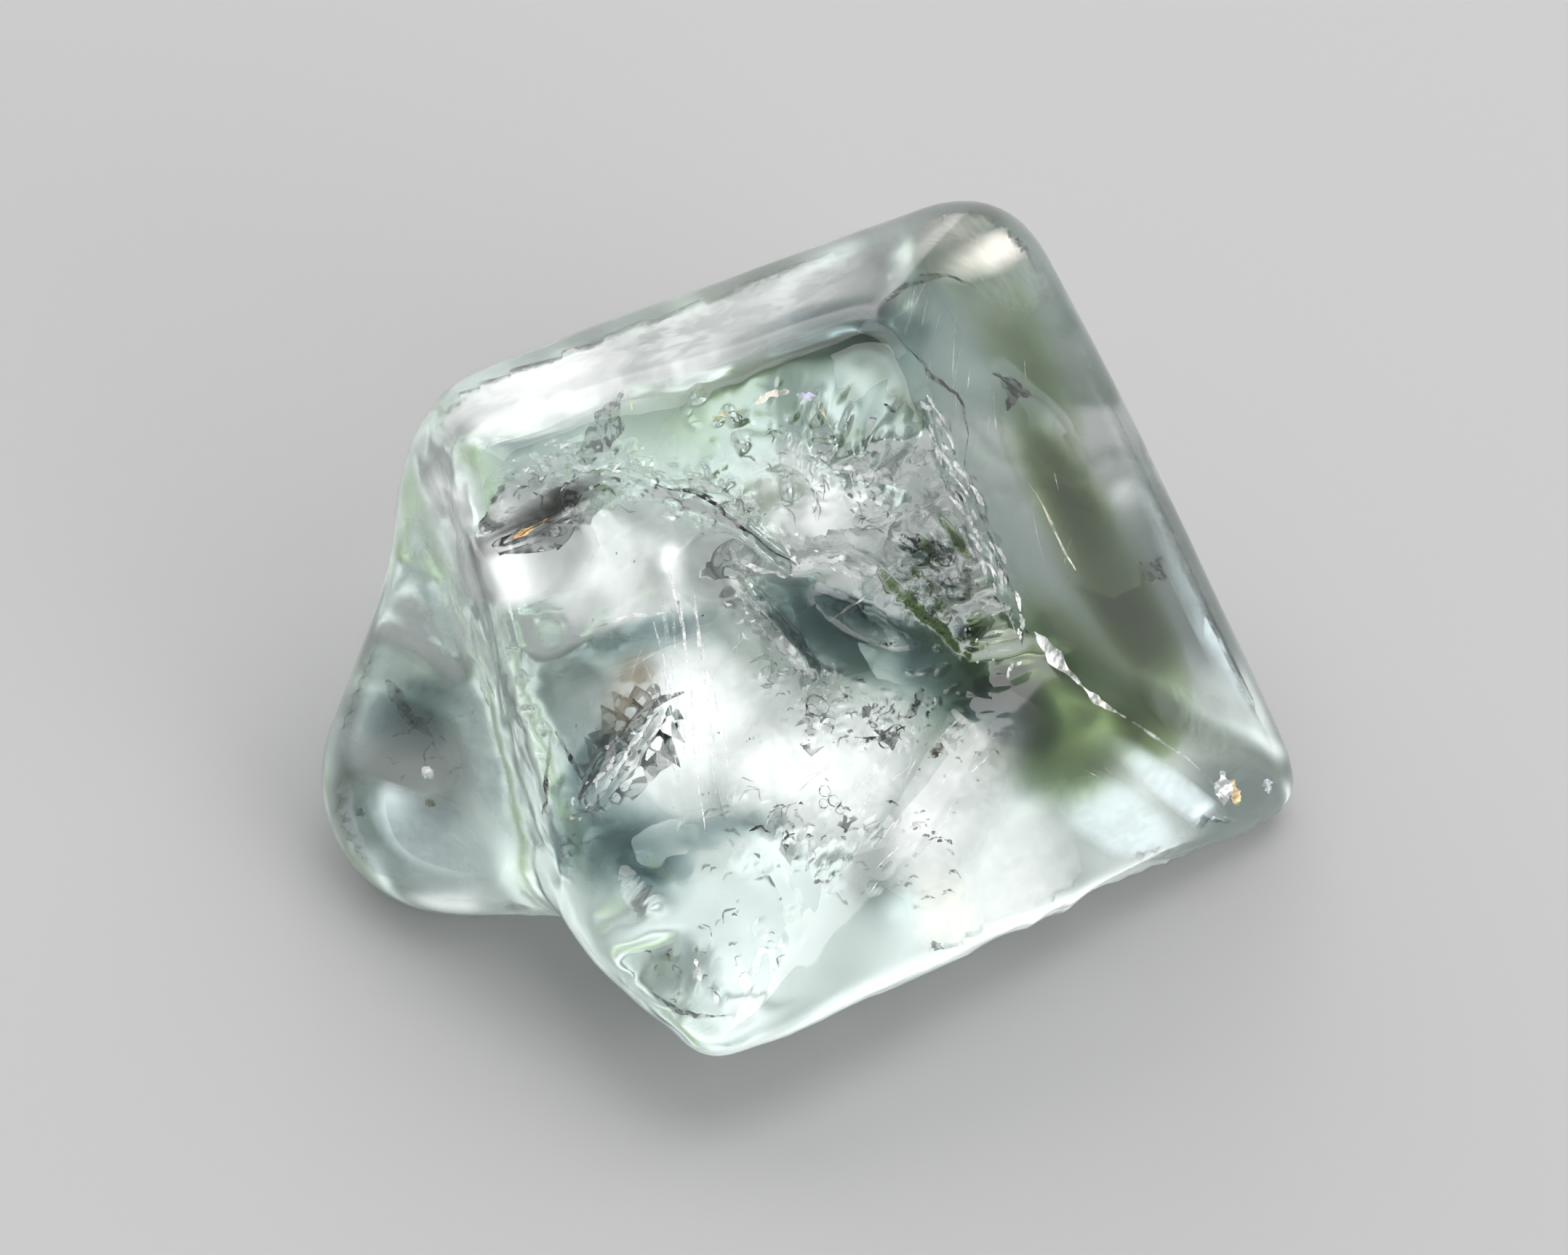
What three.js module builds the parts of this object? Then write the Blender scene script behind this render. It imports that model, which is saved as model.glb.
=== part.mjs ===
// A rough topaz crystal, lying on a flat cleavage base.
//
// The stone is one solid. Its skin is the meeting of a ring of flat growth faces with rounded
// edges, one broken face with ledges and hollows where a corner was knocked off, and a
// water-worn lobe on its left side. Millimetres, +Z up, the broken face looks up and to -Y.
// The origin is the middle of the footprint, on the surface that the stone lies on.

import * as THREE from 'three';
import { mergeVertices } from 'three/addons/utils/BufferGeometryUtils.js';

// ---- Driving dimensions: millimetres and degrees ----

// A point inside the stone from which the whole skin can be seen. All faces are placed from it.
const HEART = new THREE.Vector3(0.75, 0.35, 4.43);

// Each growth face: the compass direction and the slope of its outward normal, how far it lies
// from the heart, how softly it meets its neighbours, and the depth of its natural waviness.
const FACES = [
  { name: 'foot', turn: -52, slope: 6, reach: 4.97, edge: 1.5, wave: 0.03 },
  { name: 'right', turn: -2.5, slope: 37, reach: 4.24, edge: 0.45, wave: 0.03 },
  { name: 'top', turn: 123, slope: 57, reach: 5.72, edge: 1.3, wave: 0.04 },
  { name: 'left', turn: -163, slope: -3.5, reach: 6.48, edge: 1.1, wave: 0.06 },
  { name: 'under_left', turn: -143, slope: -38.5, reach: 7.25, edge: 0.6, wave: 0.04 },
  { name: 'rim_right', turn: 21, slope: 16.5, reach: 6.44, edge: 0.75, wave: 0.02 },
  { name: 'rim_right_upper', turn: 27, slope: 20, reach: 6.54, edge: 0.75, wave: 0.02 },
  { name: 'rim_right_lower', turn: 17, slope: 13.5, reach: 6.42, edge: 0.75, wave: 0.02 },
  { name: 'rim_right_corner', turn: -22.5, slope: -24, reach: 8.4, edge: 0.75, wave: 0.02 },
  { name: 'rim_foot', turn: -57.5, slope: -45.5, reach: 6.73, edge: 0.6, wave: 0.03 },
  { name: 'rim_top', turn: 115.5, slope: 35, reach: 6.68, edge: 0.75, wave: 0.02 },
  { name: 'rim_top_corner', turn: 67, slope: 35.5, reach: 7.95, edge: 0.75, wave: 0.02 },
  { name: 'rim_left_corner', turn: 146, slope: 21.5, reach: 8.26, edge: 0.75, wave: 0.02 },
  { name: 'rim_left', turn: 171, slope: 5, reach: 8.28, edge: 0.75, wave: 0.03 },
  { name: 'back_right', turn: 38, slope: -6, reach: 6.75, edge: 0.75, wave: 0.05 },
  { name: 'back_left', turn: 109, slope: -7, reach: 5.75, edge: 0.75, wave: 0.05 },
  { name: 'under_front', turn: -62.5, slope: -50, reach: 6.08, edge: 0.6, wave: 0.04 },
  { name: 'under_back', turn: -169.5, slope: -35.5, reach: 8.0, edge: 0.75, wave: 0.04 },
];
const FACE_WAVELENGTH = 3.4;

// The broken face, where a corner was knocked off.
const BREAK = { turn: -94, slope: 47, reach: 3.99 };
const VIEW_SLOPE = 46; // the broken face is mapped square to this slope: u to the right, v up

// The worn lobe: a skin drawn over two balls, placed from the heart, and its soft neck.
const LOBE = {
  low: new THREE.Vector3(-6.79, -1.21, -2.74),
  lowRadius: 2.45,
  high: new THREE.Vector3(-6.73, 1.77, 0.32),
  highRadius: 0.98,
  neck: 1.5,
};

const BASE_EDGE = 0.5; // how softly the sides meet the flat base

// The ledge that crosses the broken face, from left to right: the block above it stands proud.
const LEDGE_LINE = [
  [-3.9, 2.35], [-2.65, 1.88], [-1.97, 1.48], [-1.1, 0.8], [-0.22, 0.96],
  [0.45, 0.67], [1.13, 0.0], [1.93, -0.68], [2.9, -0.5],
];
const LEDGE_HEIGHT = 0.34;
const LEDGE_WIDTH = 0.18;

// Shell-shaped hollows and proud lumps: centre, half lengths, turn in degrees, depth.
const HOLLOWS = [
  { u: 0.25, v: 0.12, long: 1.35, wide: 0.62, turn: -24, depth: 0.5 }, // scoop under the ledge
  { u: -5.4, v: 1.75, long: 1.35, wide: 0.3, turn: 27, depth: 0.42 }, // slanting chip, upper left
  { u: 1.02, v: 1.15, long: 0.5, wide: 0.2, turn: -24, depth: 0.3 }, // slot in the jagged block
  { u: 1.95, v: -0.15, long: 0.45, wide: 0.3, turn: 40, depth: 0.26 }, // pit by the front corner
  { u: -3.9, v: -2.3, long: 1.5, wide: 0.26, turn: 56, depth: 0.24 }, // groove, lower left
  { u: -1.35, v: -0.2, long: 1.45, wide: 0.24, turn: -50, depth: 0.2 }, // grainy gutter
  { u: -4.9, v: -0.6, long: 1.5, wide: 1.1, turn: -70, depth: 0.2 }, // broad dish on the left
  { u: -3.6, v: -4.5, long: 0.8, wide: 0.5, turn: -40, depth: 0.22 }, // dish at the foot
  { u: -2.3, v: 0.9, long: 0.9, wide: 0.7, turn: 20, depth: -0.14 }, // swelling below the ledge
  { u: -0.4, v: -2.6, long: 2.0, wide: 1.2, turn: 35, depth: -0.14 }, // swelling of the lower half
];

// The jagged block next to the right edge, and ripples that spread from the blow.
const JAGGED = { u: 1.55, v: 0.85, radius: 1.25, height: 0.17 };
const RIPPLES = { u: -2.9, v: -5.5, ring: 1.9, width: 0.9, spacing: 0.85, height: 0.02 };
const BREAK_WAVE = 0.07;

// The skin is found along rays that crowd towards the broken face.
const RAY_DETAIL = 19;
const RAY_CROWDING = 0.25;
const RAY_LENGTH = 16;
const HALVINGS = 34;
const CUT_STEP = 1e-4; // coordinates are rounded to this, so that the base is truly flat

// ---- Small helpers ----

const clamp = THREE.MathUtils.clamp;
const radians = THREE.MathUtils.degToRad;

// The unit vector with a compass direction (from +X towards +Y) and a slope above level.
function direction(turn, slope) {
  const level = Math.cos(radians(slope));
  return new THREE.Vector3(
    level * Math.cos(radians(turn)),
    level * Math.sin(radians(turn)),
    Math.sin(radians(slope)),
  );
}

// The larger of two values, with the corner between them rounded over a width k.
function softMax(a, b, k) {
  const share = clamp(0.5 + (0.5 * (a - b)) / k, 0, 1);
  return b + (a - b) * share + k * share * (1 - share);
}

function softMin(a, b, k) {
  return -softMax(-a, -b, k);
}

// A ramp from 0 to 1 as x goes from -1 to 1, level at both ends.
function ramp(x) {
  const t = clamp(0.5 + 0.5 * x, 0, 1);
  return t * t * (3 - 2 * t);
}

// A bump from 1 at x = 0 to 0 at x = 1, level at both ends.
function bump(x) {
  return 1 - ramp(2 * clamp(x, 0, 1) - 1);
}

// The height of a line of points at u, held level past its ends.
function lineHeight(line, u) {
  const last = line.length - 1;
  if (u <= line[0][0]) return line[0][1];
  if (u >= line[last][0]) return line[last][1];
  const i = line.findIndex((point) => point[0] > u);
  const [u0, v0] = line[i - 1];
  const [u1, v1] = line[i];
  return v0 + ((v1 - v0) * (u - u0)) / (u1 - u0);
}

// ---- The relief of the broken face, in millimetres, outward ----

function hollowDepth(hollow, u, v) {
  const c = Math.cos(radians(hollow.turn));
  const s = Math.sin(radians(hollow.turn));
  const along = ((u - hollow.u) * c + (v - hollow.v) * s) / hollow.long;
  const across = ((v - hollow.v) * c - (u - hollow.u) * s) / hollow.wide;
  return hollow.depth * bump(Math.hypot(along, across));
}

function ledgeHeight(u, v) {
  const above = ramp((v - lineHeight(LEDGE_LINE, u)) / LEDGE_WIDTH);
  const fadeLeft = ramp((u + 3.6) / 0.9);
  const fadeTop = 1 - ramp((v - 3.4) / 1.6);
  return LEDGE_HEIGHT * above * fadeLeft * fadeTop;
}

// Broken plates at odd angles: folded waves, each a row of sharp roofs.
function jaggedHeight(u, v) {
  const near = bump(Math.hypot(u - JAGGED.u, v - JAGGED.v) / JAGGED.radius);
  const plates = Math.abs(Math.sin(2.9 * u + 1.3 * v)) - Math.abs(Math.sin(1.7 * u - 3.6 * v + 1))
    + 0.6 * Math.abs(Math.sin(5.2 * u + 4.1 * v + 2));
  return JAGGED.height * near * plates;
}

function rippleHeight(u, v) {
  const distance = Math.hypot(u - RIPPLES.u, v - RIPPLES.v);
  const near = bump(Math.abs(distance - RIPPLES.ring) / RIPPLES.width);
  return RIPPLES.height * near * Math.cos((2 * Math.PI * distance) / RIPPLES.spacing);
}

function breakRelief(u, v) {
  const waves = BREAK_WAVE * (Math.sin(0.9 * u + 0.5 * v) + Math.sin(0.6 * u - 1.1 * v + 2));
  const hollows = HOLLOWS.reduce((sum, hollow) => sum + hollowDepth(hollow, u, v), 0);
  return waves + ledgeHeight(u, v) + jaggedHeight(u, v) + rippleHeight(u, v) - hollows;
}

// ---- The stone: negative inside, positive outside ----

const BREAK_NORMAL = direction(BREAK.turn, BREAK.slope);
const FACE_NORMALS = FACES.map((face) => direction(face.turn, face.slope));
const VIEW_UP = new THREE.Vector3(0, Math.sin(radians(VIEW_SLOPE)), Math.cos(radians(VIEW_SLOPE)));

// Gentle growth waves on a flat face: three crossed waves through the whole stone.
function faceWave(p, seed) {
  const k = (2 * Math.PI) / FACE_WAVELENGTH;
  return (Math.sin(k * p.x + seed) + Math.sin(k * p.y + 2 * seed) + Math.sin(k * p.z + 3 * seed)) / 3;
}

// How far p lies outside the skin drawn over the lobe's two balls.
function lobeDistance(p) {
  const axis = LOBE.high.clone().sub(LOBE.low);
  const length = axis.length();
  axis.normalize();
  const fromLow = p.clone().sub(LOBE.low);
  const along = fromLow.dot(axis);
  const away = Math.sqrt(Math.max(fromLow.lengthSq() - along * along, 0));
  const lean = (LOBE.lowRadius - LOBE.highRadius) / length;
  const side = Math.sqrt(1 - lean * lean);
  const place = side * along - lean * away;
  if (place < 0) return Math.hypot(away, along) - LOBE.lowRadius;
  if (place > side * length) return Math.hypot(away, along - length) - LOBE.highRadius;
  return side * away + lean * along - LOBE.lowRadius;
}

// How far p, measured from the heart, lies outside the stone.
function outside(p) {
  const relief = breakRelief(p.x, p.dot(VIEW_UP));
  let distance = p.dot(BREAK_NORMAL) - BREAK.reach - relief;
  FACES.forEach((face, i) => {
    const skin = p.dot(FACE_NORMALS[i]) - face.reach - face.wave * faceWave(p, i + 1);
    distance = softMax(distance, skin, face.edge);
  });
  distance = softMin(distance, lobeDistance(p), LOBE.neck);
  return softMax(distance, -HEART.z - p.z, BASE_EDGE);
}

// The point of the skin along a ray from the heart, found by halving.
function skinPoint(ray) {
  let near = 0;
  let far = RAY_LENGTH;
  const point = new THREE.Vector3();
  for (let i = 0; i < HALVINGS; i += 1) {
    const middle = (near + far) / 2;
    point.copy(ray).multiplyScalar(middle);
    if (outside(point) < 0) near = middle;
    else far = middle;
  }
  return point.add(HEART);
}

const snap = (value) => Math.round(value / CUT_STEP) * CUT_STEP;

function stoneGeometry() {
  const rays = new THREE.IcosahedronGeometry(1, RAY_DETAIL);
  rays.deleteAttribute('normal');
  rays.deleteAttribute('uv');
  const geometry = mergeVertices(rays, 1e-5);
  const position = geometry.getAttribute('position');
  const ray = new THREE.Vector3();
  for (let i = 0; i < position.count; i += 1) {
    ray.fromBufferAttribute(position, i).addScaledVector(BREAK_NORMAL, RAY_CROWDING).normalize();
    const point = skinPoint(ray);
    position.setXYZ(i, snap(point.x), snap(point.y), snap(point.z));
  }
  geometry.computeBoundingBox();
  const middle = geometry.boundingBox.getCenter(new THREE.Vector3());
  geometry.translate(-snap(middle.x), -snap(middle.y), 0);
  geometry.computeVertexNormals();
  return geometry;
}

const crystal = new THREE.Mesh(
  stoneGeometry(),
  new THREE.MeshStandardMaterial({
    color: new THREE.Color(0.8, 0.87, 0.83),
    roughness: 0.08,
    metalness: 0,
    transparent: true,
    opacity: 0.45,
    flatShading: true,
  }),
);
crystal.name = 'topaz_crystal';

const topaz = new THREE.Group();
topaz.name = 'topaz';
topaz.add(crystal);

export default topaz;
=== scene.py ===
# %% [markdown]
# # A rough topaz crystal
# A topaz crystal grows as one piece of clear stone with flat faces. This one is nearly
# colourless with a grey-green tint. One corner was knocked off, which left a broken face with
# ledges and shell-shaped hollows, and its left side carries a lobe that water wore round. The
# lesson builds that stone as one clear skin, then the cracks and specks inside it, and lights
# it so that the light can run through it.

# %% The tools and the frame
import math

import bpy
import numpy as np
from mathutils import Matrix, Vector


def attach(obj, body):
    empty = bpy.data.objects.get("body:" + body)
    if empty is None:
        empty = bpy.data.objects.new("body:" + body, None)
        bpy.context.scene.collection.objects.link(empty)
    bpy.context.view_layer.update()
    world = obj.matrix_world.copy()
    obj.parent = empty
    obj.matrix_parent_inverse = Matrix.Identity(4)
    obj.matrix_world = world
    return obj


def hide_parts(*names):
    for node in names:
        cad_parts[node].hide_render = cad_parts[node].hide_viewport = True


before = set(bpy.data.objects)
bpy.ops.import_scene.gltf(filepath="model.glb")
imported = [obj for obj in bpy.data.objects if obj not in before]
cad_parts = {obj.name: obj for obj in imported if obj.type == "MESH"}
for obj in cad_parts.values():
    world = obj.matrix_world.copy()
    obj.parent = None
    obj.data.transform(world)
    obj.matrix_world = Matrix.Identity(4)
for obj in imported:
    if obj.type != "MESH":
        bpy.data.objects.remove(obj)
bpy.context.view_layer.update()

# %% [markdown]
# ## Placing the stone
# The stone is worked out in millimetres from its heart, a point inside it from which the whole
# skin can be seen. Flat growth faces are placed by the compass direction and slope of their
# outward normal and by their distance from the heart. The numbers are the stone's own, and the
# finished mesh is moved so that its footprint is centred on the origin and its base lies at zero.

# %% The stone's driving dimensions
MM = 0.001
HEART_HEIGHT = 4.43

# name: compass direction, slope, distance from the heart, edge rounding, waviness
GROWTH_FACES = {
    "foot": (-52, 6, 4.97, 1.5, 0.03),
    "right": (-2.5, 37, 4.24, 0.45, 0.03),
    "top": (123, 57, 5.72, 1.3, 0.04),
    "left": (-163, -3.5, 6.48, 1.1, 0.06),
    "under_left": (-143, -38.5, 7.25, 0.6, 0.04),
    "rim_right": (21, 16.5, 6.44, 0.75, 0.02),
    "rim_right_upper": (27, 20, 6.54, 0.75, 0.02),
    "rim_right_lower": (17, 13.5, 6.42, 0.75, 0.02),
    "rim_right_corner": (-22.5, -24, 8.4, 0.75, 0.02),
    "rim_foot": (-57.5, -45.5, 6.73, 0.6, 0.03),
    "rim_top": (115.5, 35, 6.68, 0.75, 0.02),
    "rim_top_corner": (67, 35.5, 7.95, 0.75, 0.02),
    "rim_left_corner": (146, 21.5, 8.26, 0.75, 0.02),
    "rim_left": (171, 5, 8.28, 0.75, 0.03),
    "back_right": (38, -6, 6.75, 0.75, 0.05),
    "back_left": (109, -7, 5.75, 0.75, 0.05),
    "under_front": (-62.5, -50, 6.08, 0.6, 0.04),
    "under_back": (-169.5, -35.5, 8.0, 0.75, 0.04),
}
FACE_WAVELENGTH = 3.4
BREAK_TURN, BREAK_SLOPE, BREAK_REACH = -94, 47, 3.99
VIEW_SLOPE = 46
BASE_EDGE = 0.5

# the lobe: a skin over two balls, and the width of its neck
LOBE_LOW, LOBE_LOW_RADIUS = np.array([-6.79, -1.21, -2.74]), 2.45
LOBE_HIGH, LOBE_HIGH_RADIUS = np.array([-6.73, 1.77, 0.32]), 0.98
LOBE_NECK = 1.5


def direction(turn, slope):
    """Unit vector: turn degrees from +X towards +Y, slope degrees above level."""
    turn, slope = math.radians(turn), math.radians(slope)
    level = math.cos(slope)
    return np.array([level * math.cos(turn), level * math.sin(turn), math.sin(slope)])


def unit(vectors):
    """One vector, or each row of several, at length 1."""
    return vectors / np.linalg.norm(vectors, axis=-1, keepdims=True)


BREAK_NORMAL = direction(BREAK_TURN, BREAK_SLOPE)
VIEW_UP = direction(90, 90 - VIEW_SLOPE)
print("the broken face looks along", BREAK_NORMAL.round(3))

# %% [markdown]
# ## Rounded meetings
# Where two faces of a natural crystal meet, the edge is never knife sharp. Taking the larger of
# two distances gives a sharp edge; a soft maximum gives the same two flat faces with a round
# between them, of a width that is chosen edge by edge. The same trick turned over joins the
# lobe to the body with a hollow neck.

# %% Soft maximum, ramps and bumps
def soft_max(a, b, k):
    """The larger of a and b, with a parabola of width k where they cross."""
    share = np.clip(0.5 + 0.5 * (a - b) / k, 0, 1)
    return b + (a - b) * share + k * share * (1 - share)


def soft_min(a, b, k):
    """The smaller of a and b, rounded in the same way."""
    return -soft_max(-a, -b, k)


def ramp(x):
    """0 below -1, 1 above 1, level at both ends."""
    t = np.clip(0.5 + 0.5 * x, 0, 1)
    return t * t * (3 - 2 * t)


def bump(x):
    """1 at x = 0 falling to 0 at x = 1."""
    return 1 - ramp(2 * np.clip(x, 0, 1) - 1)


# %% [markdown]
# ## Noise without a loop
# Stone is never regular, so the relief needs noise. Blender's noise works on one point at a
# time; a small lattice of fixed random numbers, read with smooth steps between its knots, gives
# the same look for a whole array at once, and always the same numbers.

# %% Lattice noise
LATTICE_SIZE = 64
LATTICE = np.random.default_rng(7).random((LATTICE_SIZE, LATTICE_SIZE))


def lattice_noise(u, v, size, seed=0):
    """Value noise from -1 to 1: knots every size millimetres, smooth steps between them. Each
    seed reads another part of the lattice."""
    x, y = u / size + 17.3 * seed, v / size + 5.9 * seed
    i, j = np.floor(x).astype(int), np.floor(y).astype(int)
    fx, fy = x - i, y - j
    fx, fy = fx * fx * (3 - 2 * fx), fy * fy * (3 - 2 * fy)
    i0, i1, j0, j1 = (k % LATTICE_SIZE for k in (i, i + 1, j, j + 1))
    low = LATTICE[i0, j0] * (1 - fx) + LATTICE[i1, j0] * fx
    high = LATTICE[i0, j1] * (1 - fx) + LATTICE[i1, j1] * fx
    return 2 * (low * (1 - fy) + high * fy) - 1


def rough_noise(u, v, size, octaves=3, seed=0):
    """Noise on noise: each octave is half the size and half the height of the last."""
    return sum(lattice_noise(u, v, size / 2 ** k, seed + k) / 2 ** k for k in range(octaves))


def ridge_noise(u, v, size, octaves=3, seed=0):
    """Sharp crests: one minus the size of the noise, so that its zero lines become ridges."""
    return sum((1 - 2 * abs(lattice_noise(u, v, size / 2 ** k, seed + k))) / 2 ** k
               for k in range(octaves))


def solid_noise(p, size, seed):
    """Noise for points in space, read along two slanting directions."""
    return rough_noise(p[:, 0] + p[:, 2], p[:, 1] - p[:, 2], size, 3, seed)


# %% [markdown]
# ## The relief of the broken face
# A knock leaves a ledge, shell-shaped scoops, a block of jagged plates and ripples that spread
# from the blow. They could be sculpted by hand, but as formulas of two face coordinates they
# stay small, and the same formulas serve a coarse and a fine mesh. u runs to the right and v
# runs up the face, both from the heart.

# %% Relief of the broken face: the main forms
LEDGE_LINE = np.array([
    (-3.9, 2.35), (-2.65, 1.88), (-1.97, 1.48), (-1.1, 0.8), (-0.22, 0.96),
    (0.45, 0.67), (1.13, 0.0), (1.93, -0.68), (2.9, -0.5),
])
LEDGE_HEIGHT, LEDGE_WIDTH = 0.34, 0.16
LEDGE_CRUMBLE, LEDGE_CRUMBLE_SIZE = 0.05, 0.3
LEDGE_START, LEDGE_START_WIDTH = -3.6, 0.9
LEDGE_TOP, LEDGE_TOP_WIDTH = 3.4, 1.6

# centre u, v, half length, half width, turn, depth (negative stands proud)
HOLLOWS = {
    "scoop under the ledge": (0.25, 0.12, 1.35, 0.62, -24, 0.5),
    "slanting chip": (-5.4, 1.75, 1.35, 0.3, 27, 0.26),
    "slot": (1.02, 1.15, 0.5, 0.2, -24, 0.3),
    "pit by the front corner": (1.95, -0.15, 0.45, 0.3, 40, 0.26),
    "groove": (-3.9, -2.3, 1.5, 0.26, 56, 0.24),
    "grainy gutter": (-1.35, -0.2, 1.45, 0.24, -50, 0.2),
    "broad dish": (-4.9, -0.6, 1.5, 1.1, -70, 0.2),
    "dish at the foot": (-3.6, -4.5, 0.8, 0.5, -40, 0.22),
    "swelling below the ledge": (-2.3, 0.9, 0.9, 0.7, 20, -0.14),
    "swelling of the lower half": (-0.4, -2.6, 2.0, 1.2, 35, -0.14),
}
JAGGED_U, JAGGED_V, JAGGED_RADIUS, JAGGED_HEIGHT = 1.55, 0.85, 1.25, 0.17
RIPPLE_U, RIPPLE_V, RIPPLE_RING = -2.9, -5.5, 1.9
RIPPLE_WIDTH, RIPPLE_SPACING, RIPPLE_HEIGHT = 0.9, 0.85, 0.02
BREAK_WAVE = 0.07

# waves: radians for each millimetre of u and of v, shift, strength
BREAK_WAVES = [(0.9, 0.5, 0, 1), (0.6, -1.1, 2, 1)]
JAGGED_WAVES = [(2.9, 1.3, 0, 1), (1.7, -3.6, 1, -1), (5.2, 4.1, 2, 0.6)]


def turned(a, b, turn):
    """a and b turned by some degrees, anticlockwise."""
    c, s = math.cos(math.radians(turn)), math.sin(math.radians(turn))
    return a * c - b * s, a * s + b * c


def oval(u, v, cu, cv, long, wide, turn):
    """Distance from a centre, measured in half lengths and half widths of a turned oval."""
    along, across = turned(u - cu, v - cv, -turn)
    return np.hypot(along / long, across / wide)


def chance_place(rng, cu, cv, long, wide, turn):
    """A place inside a turned oval, every part of it as likely."""
    reach, angle = math.sqrt(rng.random()), 2 * math.pi * rng.random()
    u, v = turned(long * reach * math.cos(angle), wide * reach * math.sin(angle), turn)
    return cu + u, cv + v


def mound(u, v, place, fray=0):
    """A height, times a bump over the distance from an oval's centre, frayed by noise."""
    *outline, height = place
    return height * bump(oval(u, v, *outline) + fray)


def waves(u, v, rows, folded=False):
    """A sum of sines across the face; folded, every trough stands up as a sharp roof."""
    total = 0
    for a, b, shift, strength in rows:
        wave = np.sin(a * u + b * v + shift)
        total = total + strength * (abs(wave) if folded else wave)
    return total


def ledge(u, v):
    """A step up across a line, faded out at its left end and towards the top."""
    crumble = LEDGE_CRUMBLE * rough_noise(u, v, LEDGE_CRUMBLE_SIZE, 2, 11)
    above = ramp((v - np.interp(u, *LEDGE_LINE.T) + crumble) / LEDGE_WIDTH)
    begun = ramp((u - LEDGE_START) / LEDGE_START_WIDTH)
    return LEDGE_HEIGHT * above * begun * (1 - ramp((v - LEDGE_TOP) / LEDGE_TOP_WIDTH))


def jagged(u, v):
    """Broken plates: folded waves round one place."""
    near = bump(np.hypot(u - JAGGED_U, v - JAGGED_V) / JAGGED_RADIUS)
    return JAGGED_HEIGHT * near * waves(u, v, JAGGED_WAVES, folded=True)


def ripples(u, v):
    """Rings round the blow: a cosine of the distance, strongest at one ring."""
    distance = np.hypot(u - RIPPLE_U, v - RIPPLE_V)
    near = bump(abs(distance - RIPPLE_RING) / RIPPLE_WIDTH)
    return RIPPLE_HEIGHT * near * np.cos(2 * math.pi * distance / RIPPLE_SPACING)


# %% [markdown]
# ### Grain
# Parts of the break are not smooth: the gutter, the jagged block, a strip along the right edge
# and the crumbled ledge are all fine grains. The same soft ovals that place the grain in the
# mesh are kept as a mask, because the finish is dull there too.

# %% Relief of the broken face: grain
# centre u, v, half length, half width, turn, strength
GRAIN_PATCHES = {
    "gutter": (-1.3, -0.2, 1.6, 0.42, -50, 1.0),
    "gutter end": (-0.6, -1.0, 0.6, 0.5, -30, 0.8),
    "jagged block": (1.6, 0.5, 1.4, 0.9, -40, 1.0),
    "right strip, upper": (1.5, 3.3, 2.0, 0.45, -64, 0.8),
    "right strip, lower": (2.35, 1.1, 1.9, 0.4, -75, 1.0),
    "corner knob": (2.7, -0.8, 0.7, 0.5, 60, 0.9),
    "crumbled ledge": (-2.9, 2.0, 1.1, 0.28, -14, 1.0),
    "chip rim": (-4.9, 2.5, 1.2, 0.3, 5, 0.7),
    "upper block": (-0.2, 2.7, 2.2, 1.3, -15, 0.6),
    "scoop": (0.2, 0.1, 1.3, 0.6, -24, 0.3),
    "groove": (-3.9, -2.4, 1.6, 0.3, 56, 0.8),
    "foot": (-2.2, -6.2, 1.4, 0.8, 20, 0.4),
    "foot corner": (-3.2, -6.6, 0.9, 0.25, -25, 0.8),
    "left crack": (-5.6, -3.0, 1.4, 0.3, -62, 0.5),
}
GRAIN_SIZE, GRAIN_HEIGHT = 0.34, 0.055
FRAY, FRAY_SIZE = 0.35, 0.7
SKIN_SIZE, SKIN_HEIGHT = 1.4, 0.022

# centre u, v, half length, half width, turn, height, size of the lumps
LUMPS = {
    "upper block": (0.3, 2.6, 2.2, 1.7, -35, 0.085, 0.75),
    "right strip": (1.9, 2.2, 2.6, 0.7, -68, 0.06, 0.45),
    "knob": (2.2, -0.6, 1.0, 0.8, 60, 0.06, 0.5),
    "scoop": (0.25, 0.12, 1.6, 0.9, -24, 0.09, 0.7),
    "left edge": (-5.9, -1.4, 2.6, 0.7, -66, 0.05, 0.6),
}


def grain_mask(u, v):
    """The strongest of the grain patches, its rim broken up by noise."""
    fray = FRAY * rough_noise(u, v, FRAY_SIZE, 3, 3)
    return np.max([mound(u, v, patch, fray) for patch in GRAIN_PATCHES.values()], axis=0)


# %% [markdown]
# ### Pits
# Small pits and half-moon chips are strewn over the break. There are hundreds, so the whole
# relief is worked out once on squared paper, a pit touches only the squares round it, and the
# stone reads its heights back between the squares.

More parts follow.
